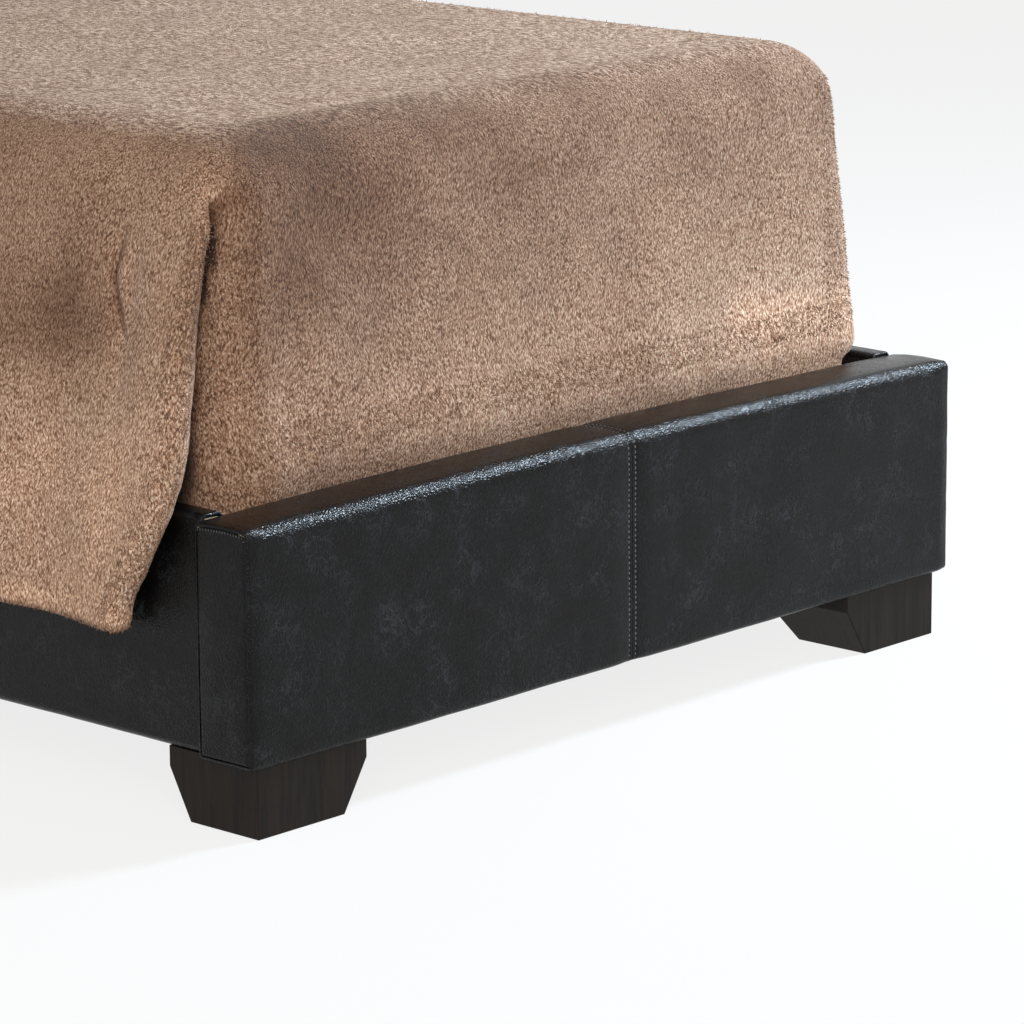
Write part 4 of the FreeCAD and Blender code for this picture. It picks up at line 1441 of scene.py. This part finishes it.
    def foot_profile(self, depth: Array, x: Array) -> tuple[Array, Array]:
        """Foot profile: a rounded edge, then upright, bulging where it rests on the footboard's top.

        Args:
            depth: way along the cloth from the start of the rounding.
            x: place across the bed.

        Returns:
            Way towards the foot, and Z.
        """
        r = self.foot_radius
        theta = np.clip(depth, 0, r * QUARTER) / r
        z = self.top - r + r * np.cos(theta) - np.maximum(depth - r * QUARTER, 0)
        bulge = 10 * MM * bell(z, 0.358, 0.035) - 1.5 * MM * smooth(0.32, 0.30, z)
        waves = (2.2 * MM * ripple(x, z, 0.32, 3) + 1.1 * MM * ripple(x, z, 0.11, 4)
                 + 2.2 * MM * bell(z, 0.365, 0.035) * ripple(x, z * 0.5, 0.07, 6))
        return self.edge_q + r * np.sin(theta) + bulge + smooth(0.02, 0.10, depth) * smooth(0.30, 0.36, z) * waves, z

    def corner_walk(self, way: Array, reach_x: Array, reach_y: Array, radius: Array) -> tuple[Array, Array, Array]:
        """Walks round the upright corner: along the foot, round an arc, then back along the side.

        Args:
            way: distance walked from the start of the side's rounding.
            reach_x: how far the side stands out from that start.
            reach_y: how far the foot stands out from its own start.
            radius: the arc's radius.

        Returns:
            Way out towards the side, and towards the foot, from the two starts, and the turn on the arc.
        """
        first = reach_x - radius
        turn = np.clip((way - first) / np.maximum(radius, TINY), 0, QUARTER)
        out_x = np.clip(way, 0, first) + radius * np.sin(turn)
        out_y = reach_y - radius + radius * np.cos(turn) - np.maximum(way - first - QUARTER * radius, 0)
        return out_x, out_y, turn

    def inner_layer(self, depth: Array, back: Array, x: Array, sign: Array) -> Array:
        """The foot's cloth, which goes round the mattress's corner and back inside the drape.

        The corner under it is rounded; the far one grows sharper downwards, where the foot face widens over
        the far rail. The near corner has a small ridge.

        Args:
            depth: way down the foot.
            back: way along the cloth past the start of the side's rounding.
            x: place across the bed.
            sign: side of the bed.

        Returns:
            Places of the points with a way back.
        """
        foot_out, z = self.foot_profile(depth, x)
        radius = (60 - 22 * smooth(0.14, 0.34, depth) * (sign > 0)) * MM
        spread = 17 * MM * window(depth, 0.10, 0.36, 0.398, 0.412) * (sign > 0)
        ridge = 5 * MM * bell(back, 0.062, 0.010) * window(depth, 0.09, 0.12, 0.17, 0.26) * (sign < 0)
        out_x, out_y, turn = self.corner_walk(back, self.side_radius + spread, foot_out - self.edge_q, radius)
        under = smooth(0.0, 0.03, back - (self.side_radius - radius) - radius * QUARTER + 15 * MM)
        return coords(self.edge_p + out_x + ridge * np.sin(turn) - 4 * MM * under,
                   self.edge_q + out_y + ridge * np.cos(turn), z)

    def drape(self, q: Array, dp: Array, dq: Array, sign: Array) -> Array:
        """The cloth outside the rail: soft folds, a valley and a crest by the near front fold, the wrinkle.

        Args:
            q: flat coordinate towards the foot.
            dp: way past the start of the side's rounding.
            dq: way past the start of the foot's rounding.
            sign: side of the bed, -1 or 1.

        Returns:
            Places of the points beyond the side's edge.
        """
        down = np.maximum(dp, 0)
        x, z, lean = self.hang(down, self.slope_at(-q, sign))
        folds = (3.2 * MM * np.sin(-FULL_TURN * q / 0.19 + 1.1 * np.sin(9 * dp) + sign)
                 + 1.8 * MM * ripple(-q, dp, 0.13, 15))
        valley = -7 * MM * bell(q, 0.835 + 0.10 * (dp - 0.2), 0.028) * window(dp, 0.12, 0.2, 0.25, 0.42)
        crest = 4 * MM * bell(q, 0.885 + 0.06 * (dp - 0.2), 0.03) * window(dp, 0.12, 0.2, 0.3, 0.5)
        off, strong = self.wrinkle(dp, -q)
        pucker = strong * (2 * MM * bell(off, -12 * MM, 9 * MM) - 4 * MM * bell(off, 0, 5 * MM))
        forward, inward, start = self.turn_over(dq, down, sign)
        plump = 4 * MM * bell(dq, start, 0.03) * smooth(0.1, 0.25, dp)
        push = (smooth(0.12, 0.50, dp) * folds * smooth(-0.01, 0.05, -dq)
                + np.where(sign < 0, valley + crest + pucker, 0.0) + plump - inward)
        ease = 5 * MM * smooth(0.06, 0.14, dp) * np.exp(-np.maximum(-dq - 0.02, 0) / 0.09)
        return coords(x + np.cos(lean) * push + ease, self.edge_q + forward, z + np.sin(lean) * push)

    def middle_layer_end(self, depth: Array, sign: Array, slope: Array) -> Array:
        """Where the pleat's middle layer would end at the diagonal, by depth.

        Args:
            depth: way down the drape.
            sign: side of the bed, -1 or 1.
            slope: slope of the drape, in radians.

        Returns:
            Its places.
        """
        x, z, lean = self.hang(depth, slope)
        forward, inward, _ = self.turn_over(depth, depth, sign)
        ease = 5 * MM * smooth(0.06, 0.14, depth)
        return coords(x - np.cos(lean) * inward + ease, self.edge_q + forward, z - np.sin(lean) * inward)

    def round_corner(self, p: Array, depth: Array, share: Array, slope: Array) -> Array:
        """The smooth corner just below the top, where the cloth is spread evenly from foot to side.

        Args:
            p: flat coordinate across the bed.
            depth: way down from the top.
            share: share of the way from foot to side.
            slope: slope of the drape, in radians.

        Returns:
            Places of the points past an edge.
        """
        grown = np.sin(np.clip(depth / (0.5 * (self.side_radius + self.foot_radius)), 0, QUARTER))
        reach_x, reach_y, radius = self.side_radius * grown, self.foot_radius * grown, 0.72 * self.foot_radius * grown
        total = reach_x + reach_y - (2 - QUARTER) * radius
        out_x, out_y, _ = self.corner_walk(share * total, reach_x, reach_y, radius)
        z = self.foot_profile(depth, p)[1] * (1 - share) + self.hang(depth, slope)[1] * share
        return coords(self.edge_p + out_x, self.edge_q + out_y, z)

    def level(self, p: Array, q: Array, dp: Array, dq: Array) -> Array:
        """The cloth on the mattress's top, with soft unevenness that fades towards the edges.

        Args:
            p: flat coordinate across the bed.
            q: flat coordinate towards the foot.
            dp: way past the start of the side's rounding.
            dq: way past the start of the foot's rounding.

        Returns:
            Places of the points on the top.
        """
        sleep = smooth(0.0, 0.25, -dp) * smooth(0.0, 0.3, -dq)
        z = (self.top + (2.5 * MM * ripple(p, q, 0.5, 11) - 2 * MM) * sleep
             + 1.2 * MM * ripple(p, q, 0.16, 12) * smooth(0, 0.06, -np.maximum(dp, dq)))
        return coords(np.abs(p), q, z)

    def shape(self, p: Array, q: Array) -> tuple[Array, Array]:
        """Places the flat cloth in space.

        Each point of a foot corner has a depth, the larger of its ways past the two edges, and a return, the
        smaller one. Near the top the two are spread evenly round the corner. Further down, cloth beyond the
        foot's edge goes round the mattress's corner and back inside, and cloth beyond the side's edge goes on
        to the drape's front fold, turns over and runs back between the two. Where both are equal, they meet in
        the middle of their ends.

        Args:
            p: flat coordinate across the bed.
            q: flat coordinate towards the foot.

        Returns:
            Points, and the painted light and shade at each point.
        """
        sign = np.where(p < 0, -1.0, 1.0)
        dp, dq = np.abs(p) - self.edge_p, q - self.edge_q
        depth, back = np.maximum(np.maximum(dp, dq), 0), np.maximum(np.minimum(dp, dq), 0)
        tucked, in_corner = (dq > 0) & (dq > dp), (dp > 0) & (dq > 0)
        slope = self.slope_at(-q, sign)

        foot_out, foot_z = self.foot_profile(np.maximum(dq, 0), p)
        foot = np.where(in_corner[..., None], self.inner_layer(depth, back, p, sign),
                        coords(np.abs(p), foot_out, foot_z))
        ends = self.middle_layer_end(depth, sign, slope) - self.inner_layer(depth, depth, sign * self.edge_p, sign)
        near = bell(depth, back, 11 * MM) * in_corner * bell(np.maximum(depth, self.pleat), self.pleat, 0.03)
        folded = (np.where(tucked[..., None], foot, self.drape(q, dp, dq, sign))
                  + (near * np.where(tucked, 0.5, -0.5))[..., None] * ends)

        share = 0.5 * back / np.maximum(depth, TINY)
        rounded = self.round_corner(p, depth, np.where(tucked, share, 1 - share), slope)
        blend = np.where(in_corner, smooth(0.088, 0.137, depth), 1.0)[..., None]
        places = np.where((depth > 0)[..., None], rounded * (1 - blend) + folded * blend, self.level(p, q, dp, dq))
        points = coords(sign * places[..., 0], -places[..., 1], places[..., 2])
        return points, self.nap(p, q, dp, dq, points)

    def foot_nap_and_painted_light(self, p: Array, q: Array, dp: Array, dq: Array, x: Array) -> Array:
        """Painted light and shade on the foot's pile, with some brushing: a dark band over the edge, lighter lower down
        and towards the lit right side, painted shade in the near pleat's crease and pocket. The way into the pleat is
        taken as seen from the foot.

        Args:
            p: flat coordinate across the bed.
            q: flat coordinate towards the foot.
            dp: way past the start of the side's rounding.
            dq: way past the start of the foot's rounding.
            x: place across the bed.

        Returns:
            The painted light and shade, if a point belongs to the foot.
        """
        near_side = x < 0
        into = np.minimum(dp, dq) - 0.089 - 0.16 * (dq - 0.14) - 0.56 * np.maximum(0.14 - dq, 0)
        # band: darker over the rounded edge, partly the pile's brushing and partly painted shade.
        band = -(0.14 + 0.10 * smooth(0.0, 0.4, x)) * bell(dq, 0.075, 0.05) * smooth(0.01, 0.05, dq)
        lower = 0.44 * smooth(0.16, 0.38, dq) - 0.29
        # lower, across and patches: painted light, lighter lower down and towards the lit right side, with painted
        # sheen in patches low on the right.
        across = 0.28 * x / self.half
        patches = 0.5 * bell(dq, 0.36, 0.05) * smooth(-0.1, 0.7, ripple(p, q * 0.7, 0.09, 19)) * smooth(-0.35, 0.1, x)
        # corner: painted shade high on the near side.
        corner = -0.2 * bell(x, -0.36, 0.10) * smooth(0.34, 0.12, dq)
        widened = into + 0.007 * smooth(0.27, 0.17, dq)
        # Painted shade in the near pleat's crease and in the pocket below it.
        crease_shade = (-(0.5 + 1.1 * smooth(0.30, 0.17, dq)) * smooth(-0.004, 0.001, widened)
                  * smooth(0.113, 0.132, dq) * near_side)
        pocket_shade = -1.05 * smooth(-0.030, -0.002, into) * smooth(0.24, 0.33, dq) * near_side
        # glow and rim: painted light low on the right and along the ridge beside the pleat.
        glow = 0.80 * smooth(0.24, 0.38, dq) * smooth(0.1, 0.45, x)
        rim = 0.28 * bell(into, -0.026, 0.016) * window(dq, 0.09, 0.13, 0.2, 0.32) * near_side
        return band + lower + across + patches + corner + crease_shade + pocket_shade + glow + rim

    def drape_nap_and_painted_light(self, dp: Array, dq: Array, x: Array, y: Array) -> Array:
        """Painted light and shade on the drape's pile: lighter lower down and towards the hem, painted shade behind the
        front fold, in the near flank's hollow and along the wrinkle.

        Args:
            dp: way past the start of the side's rounding.
            dq: way past the start of the foot's rounding.
            x: place across the bed.
            y: place along the bed.

        Returns:
            The painted light and shade, if a point belongs to the drape.
        """
        near_side = x < 0
        behind = dq - self.fold_reach(np.maximum(dp, 0), np.sign(x)) + self.fold_radius(dp)
        # fold and the lower drape are painted lighter; valley, line, flank and inside are painted shade.
        fold = 0.30 * bell(dq, -0.03, 0.05) * smooth(0.10, 0.25, dp)
        valley = -0.16 * bell(dq, -0.13, 0.045) * window(dp, 0.05, 0.12, 0.22, 0.36)
        hem = 0.85 * smooth(self.drape_length - 26 * MM, self.drape_length - 10 * MM, dp)
        off, strong = self.wrinkle(dp, y)
        line = -0.75 * strong * bell(off, -1 * MM, 6 * MM) * near_side
        flank = -0.50 * bell(dp, 0.25, 0.07) * window(dq, -0.42, -0.18, -0.07, -0.03) * near_side
        inside = -0.3 * smooth(0.0, 0.01, behind) * smooth(0.09, 0.13, dp)
        return 0.07 + 0.62 * smooth(0.24, 0.40, dp) + fold + valley + hem + line + flank + inside

    def nap(self, p: Array, q: Array, dp: Array, dq: Array, points: Array) -> Array:
        """Painted light and shade on the pile, with some brushing: -1 dark, 1 light.

        The painted light of foot and drape meets softly above the pleat and sharply below it.

        Args:
            p: flat coordinate across the bed.
            q: flat coordinate towards the foot.
            dp: way past the start of the side's rounding.
            dq: way past the start of the foot's rounding.
            points: places of the points.

        Returns:
            The painted light and shade at each point.
        """
        # The level top is painted lighter, at 0.29, as the light from above falls on it.
        level, depth = 0.29, np.maximum(dp, dq)
        soft = 38 * MM - 37 * MM * smooth(0.095, 0.115, depth)
        share = smooth(-1, 1, (dq - dp) / soft)
        hung = (share * self.foot_nap_and_painted_light(p, q, dp, dq, points[..., 0])
                + (1 - share) * self.drape_nap_and_painted_light(dp, dq, points[..., 0], points[..., 1]))
        value = level + (hung - level) * smooth(-0.03, 0.02, depth)
        return value + 0.10 * ripple(p, q, 0.22, 17) + 0.05 * ripple(p, q, 0.08, 18)

    def tuft_roots(self, rng: np.random.Generator) -> Array:
        """Flat coordinates of the tufts: hems, the pleats' front folds, the tucked edge, foot corners, sides
        and the head end.

        Args:
            rng: the draws; their order is part of the shape.

        Returns:
            P and q of each tuft.
        """
        p0, q0, head, folds = self.edge_p, self.edge_q, -self.head_end, 5200
        hem = p0 + self.drape_length

        def strip(count: int, p_range: tuple[float, float], q_range: tuple[float, float]) -> Array:
            """Evenly scattered flat coordinates within a strip, on both sides of the bed.

            Args:
                count: number of places.
                p_range: the strip's ends across the bed.
                q_range: its ends towards the foot.

            Returns:
                P and q of each place.
            """
            spots = np.stack([rng.uniform(*p_range, count), rng.uniform(*q_range, count)], axis=1)
            spots[:, 0] *= np.where(rng.random(count) < 0.5, -1, 1)
            return spots

        depth = rng.uniform(0.13, self.drape_length, folds)
        side = np.where(rng.random(folds) < 0.5, -1.0, 1.0)
        front = self.fold_reach(depth, side) + self.fold_radius(depth) * rng.uniform(-2.0, 0.9, folds)
        return np.concatenate([
            strip(9000, (hem - 3 * MM, hem - 0.5 * MM), (head, q0)),
            coords(side * (p0 + depth), q0 + front),
            strip(6000, (0.0, p0 + 0.06), (q0 + 0.340, q0 + 0.375)),
            strip(3500, (p0 + 0.03, p0 + 0.09), (q0 + 0.08, q0 + 0.37)),
            strip(6000, (p0, p0 + 0.09), (head, q0)),
            strip(2500, (0.0, p0), (head, head + 2 * MM))])

    def tufts(self) -> Piece:
        """Pile that sticks out of the cloth at its hems, pleats, corners and foot: slim pyramids of four faces.

        A tuft stands on the cloth at flat coordinates (p, q). Its root is a triangle of side w, sunk into the
        pile, and its tip lies at length * (normal + lean * down), made a unit direction, with some scatter.
        The normal is the cross product of the cloth's slopes along q and p.

        Returns:
            The tufts, as one piece.
        """
        rng = np.random.default_rng(77)
        p, q = self.tuft_roots(rng).T
        count, small = len(p), 0.5 * MM
        here = self.shape(p, q)[0]
        normal = unit(np.cross(self.shape(p, q + small)[0] - here, self.shape(p + small, q)[0] - here))
        down = np.array([0.0, 0.0, -1.0]) * rng.uniform(0.2, 1.4, count)[:, None]
        way = unit(normal + (down + rng.normal(0, 0.45, (count, 3))))
        across = unit(np.cross(way, normal + np.array([0.3, 0.2, 0.1])))
        third = np.cross(way, across)
        root = here + normal * (self.thick / 2 - 0.8 * MM)
        width = rng.uniform(0.5, 0.9, count)[:, None] * MM
        tip = root + way * rng.uniform(2.2, 4.8, count)[:, None] * MM
        base = [root + width * (math.cos(turn) * across + math.sin(turn) * third) for turn in (0.0, 2.094, 4.189)]
        one = np.array([[0, 1, 3], [1, 2, 3], [2, 0, 3], [2, 1, 0]])
        faces = (one[None] + (np.arange(count) * 4)[:, None, None]).reshape(-1, 3)
        piece = make_piece("blanket_edge_tufts", np.stack([*base, tip], axis=1), faces, "plush")
        return settle(piece, body="blanket")

    def build(self) -> Piece:
        """Makes the blanket as one grid over the flat cloth, without the two cut corners, and its tufts.

        Returns:
            The blanket.
        """
        p0, q0 = self.edge_p, self.edge_q
        side = steps((0, 0), (p0 - 40 * MM, 15 * MM), (p0, 8 * MM), (p0 + self.pleat, 8.5 * MM),
                     (p0 + self.drape_length, 9.5 * MM))
        lengthwise = steps((-self.head_end, 0), (0.1, 19 * MM), (0.6, 13 * MM), (0.79, 7.5 * MM), (0.855, 3 * MM),
                           (q0 - 0.01, 6 * MM), (q0, 5 * MM), (q0 + self.pleat, 8.5 * MM),
                           (q0 + self.foot_length, 9 * MM))
        p, q = np.meshgrid(np.concatenate([-side[::-1], side[1:]]), lengthwise, indexing="ij")
        points, nap = self.shape(p, q)
        mid_p = np.abs(p[1:, 1:] + p[:-1, 1:]) / 2
        mid_q = (q[1:, 1:] + q[1:, :-1]) / 2
        faces = grid_faces(*p.shape, keep=~((mid_p > p0 + self.pleat) & (mid_q > q0 + self.pleat)))
        on_top = ((np.abs(p) < p0) & (q < q0)).astype(float)
        piece = make_piece("blanket_plush", points, faces, "plush", coords(0.0, 0.0, on_top), flat=coords(p, q),
                           wall=self.thick, wall_side=0.0)
        # Painted light and shade on the plush, one value per point.
        shade = piece.data.attributes.new("nap", "FLOAT", "POINT")
        shade.data.foreach_set("value", nap.ravel().astype(np.float32))
        drop_points(piece, np.setdiff1d(np.arange(p.size), faces))
        width, length = 2 * (p0 + self.drape_length), self.head_end + q0 + self.foot_length
        cut = 2 * (self.drape_length - self.pleat) * (self.foot_length - self.pleat)
        self.tufts()
        return settle(piece, "blanket", body="blanket")


def drop_points(piece: Piece, loose: Array) -> None:
    """Removes the points of a piece that no face uses.

    Args:
        piece: the piece, changed in place.
        loose: numbers of the points.
    """
    work = bmesh.new()
    work.from_mesh(piece.data)
    work.verts.ensure_lookup_table()
    bmesh.ops.delete(work, geom=[work.verts[i] for i in loose], context="VERTS")
    work.to_mesh(piece.data)
    work.free()


# ---------------------------------------------------------------- camera and light

@dataclass
class Studio:
    """Camera at the photograph's angle, a pale floor, a soft sky and two soft lamps."""
    place: Spot = (-3.8993, -4.4860, 1.4665)
    azimuth: float = -47.265
    elevation: float = 13.206
    roll: float = -0.406
    focal_px: float = 4920.6
    image_px: float = 1024.0
    sensor_mm: float = 36.0
    floor_radius: float = 30.0

    def camera(self) -> None:
        """Camera from its place and three angles; the lens is sensor width * focal length in pixels / image
        width."""
        az, el, roll = (math.radians(a) for a in (self.azimuth, self.elevation, self.roll))
        back = Vector((math.sin(az) * math.cos(el), -math.cos(az) * math.cos(el), math.sin(el)))
        right = Vector((math.cos(az), math.sin(az), 0))
        up = back.cross(right)
        turned = math.cos(roll) * right + math.sin(roll) * up
        upright = -math.sin(roll) * right + math.cos(roll) * up
        data = bpy.data.cameras.new("photo_camera")
        data.sensor_width = self.sensor_mm
        data.lens = self.sensor_mm * self.focal_px / self.image_px
        data.clip_end = 200
        camera = bpy.data.objects.new("photo_camera", data)
        rows = [[turned[i], upright[i], back[i], self.place[i]] for i in range(3)] + [[0, 0, 0, 1]]
        camera.matrix_world = Matrix(rows)
        bpy.context.scene.collection.objects.link(camera)
        bpy.context.scene.camera = camera

    def seen(self, graph: Graph) -> Socket:
        """1 where the camera sees the surface, also by reflection or through glass, and 0 for its light on the
        bed.

        Args:
            graph: nodes of the material or world.

        Returns:
            The share.
        """
        rays = graph.add("LightPath").node.outputs
        direct = graph.add("Math", {0: rays["Is Camera Ray"], 1: rays["Is Glossy Ray"]}, operation="MAXIMUM")
        return graph.add("Math", {0: direct, 1: rays["Is Transmission Ray"]}, operation="MAXIMUM")

    def floor(self) -> None:
        """Pale seamless paper floor: a slightly uneven white that keeps the soft shadow."""
        sides = 64
        angle = np.linspace(0, FULL_TURN, sides, endpoint=False)
        ring = coords(self.floor_radius * np.cos(angle), self.floor_radius * np.sin(angle), 0.0)
        mesh = bpy.data.meshes.new("studio_floor")
        mesh.from_pydata(ring.tolist(), [], [list(range(sides))])
        floor = bpy.data.objects.new("studio_floor", mesh)
        bpy.context.scene.collection.objects.link(floor)
        material = bpy.data.materials.new("studio_paper")
        material.use_nodes = True
        material.node_tree.nodes.clear()
        graph = Graph(material.node_tree)
        tone = graph.add("TexNoise", {"Vector": graph.add("TexCoord", out="Object"), "Scale": 0.6, "Detail": 3.0})
        tint = graph.add("ValToRGB", {"Fac": tone}, stops=((0.2, "dcdcdc"), (0.8, "e2e2e2")))
        paper = graph.add("BsdfDiffuse", {"Color": tint})
        white = graph.add("Emission", {"Strength": 1.0})
        share = graph.add("Math", {0: self.seen(graph), 1: 0.82}, operation="MULTIPLY")
        graph.add("OutputMaterial", {"Surface": graph.add("MixShader", {0: share, 1: paper, 2: white})})
        mesh.materials.append(material)

    def sky(self) -> None:
        """Plain sky: soft light on the object, white where the camera or a reflection sees it."""
        world = bpy.data.worlds.new("studio_sky")
        bpy.context.scene.world = world
        world.use_nodes = True
        world.node_tree.nodes.clear()
        graph = Graph(world.node_tree)
        soft = graph.add("Background", {"Color": linear("fff9f0"), "Strength": 0.36})
        white = graph.add("Background", {"Color": (1, 1, 1, 1), "Strength": 1.0})
        graph.add("OutputWorld", {"Surface": graph.add("MixShader", {0: self.seen(graph), 1: soft, 2: white})})

    def lamp(self, name: str, place: Spot, aim: Spot, size: float, power: float, tint: str) -> None:
        """A square soft lamp that looks at a point.

        Args:
            name: the lamp's name.
            place: where it stands.
            aim: the point that it looks at.
            size: length of its side.
            power: its power in watts.
            tint: its colour, as an sRGB hex value.
        """
        data = bpy.data.lights.new(name, "AREA")
        data.shape, data.size, data.energy, data.color = "SQUARE", size, power, linear(tint)[:3]
        lamp = bpy.data.objects.new(name, data)
        lamp.location = place
        lamp.rotation_euler = (Vector(aim) - Vector(place)).to_track_quat("-Z", "Y").to_euler()
        bpy.context.scene.collection.objects.link(lamp)

    def build(self) -> None:
        """Sets up camera, floor, sky and lamps, with a plain view."""
        self.camera()
        self.floor()
        self.sky()
        self.lamp("key_softbox", (2.8, -2.0, 2.75), (0.0, -1.05, 0.35), 0.7, 224.0, "dceeff")
        self.lamp("fill_softbox", (-3.3, -4.0, 2.0), (-0.3, -0.9, 0.4), 2.0, 128.0, "fff8f3")
        bpy.context.scene.view_settings.view_transform = "Standard"


def main() -> None:
    """Builds the studio and the bed's soft pieces in order."""
    logging.basicConfig(level=logging.INFO, format="%(message)s")
    Studio().build()
    WARDROBE.dress_nodes()
    PaddedBoard("footboard", -1050.5 * MM, 247 * MM, seam_shift=12 * MM).build(101)
    PaddedBoard("headboard", 972.5 * MM, 1113 * MM, cloth_back=True).build(202)
    for side in Side:
        SideRail(side).build()
    Foundation().build()
    Mattress().build()
    Blanket().build()


if __name__ == "__main__":
    main()
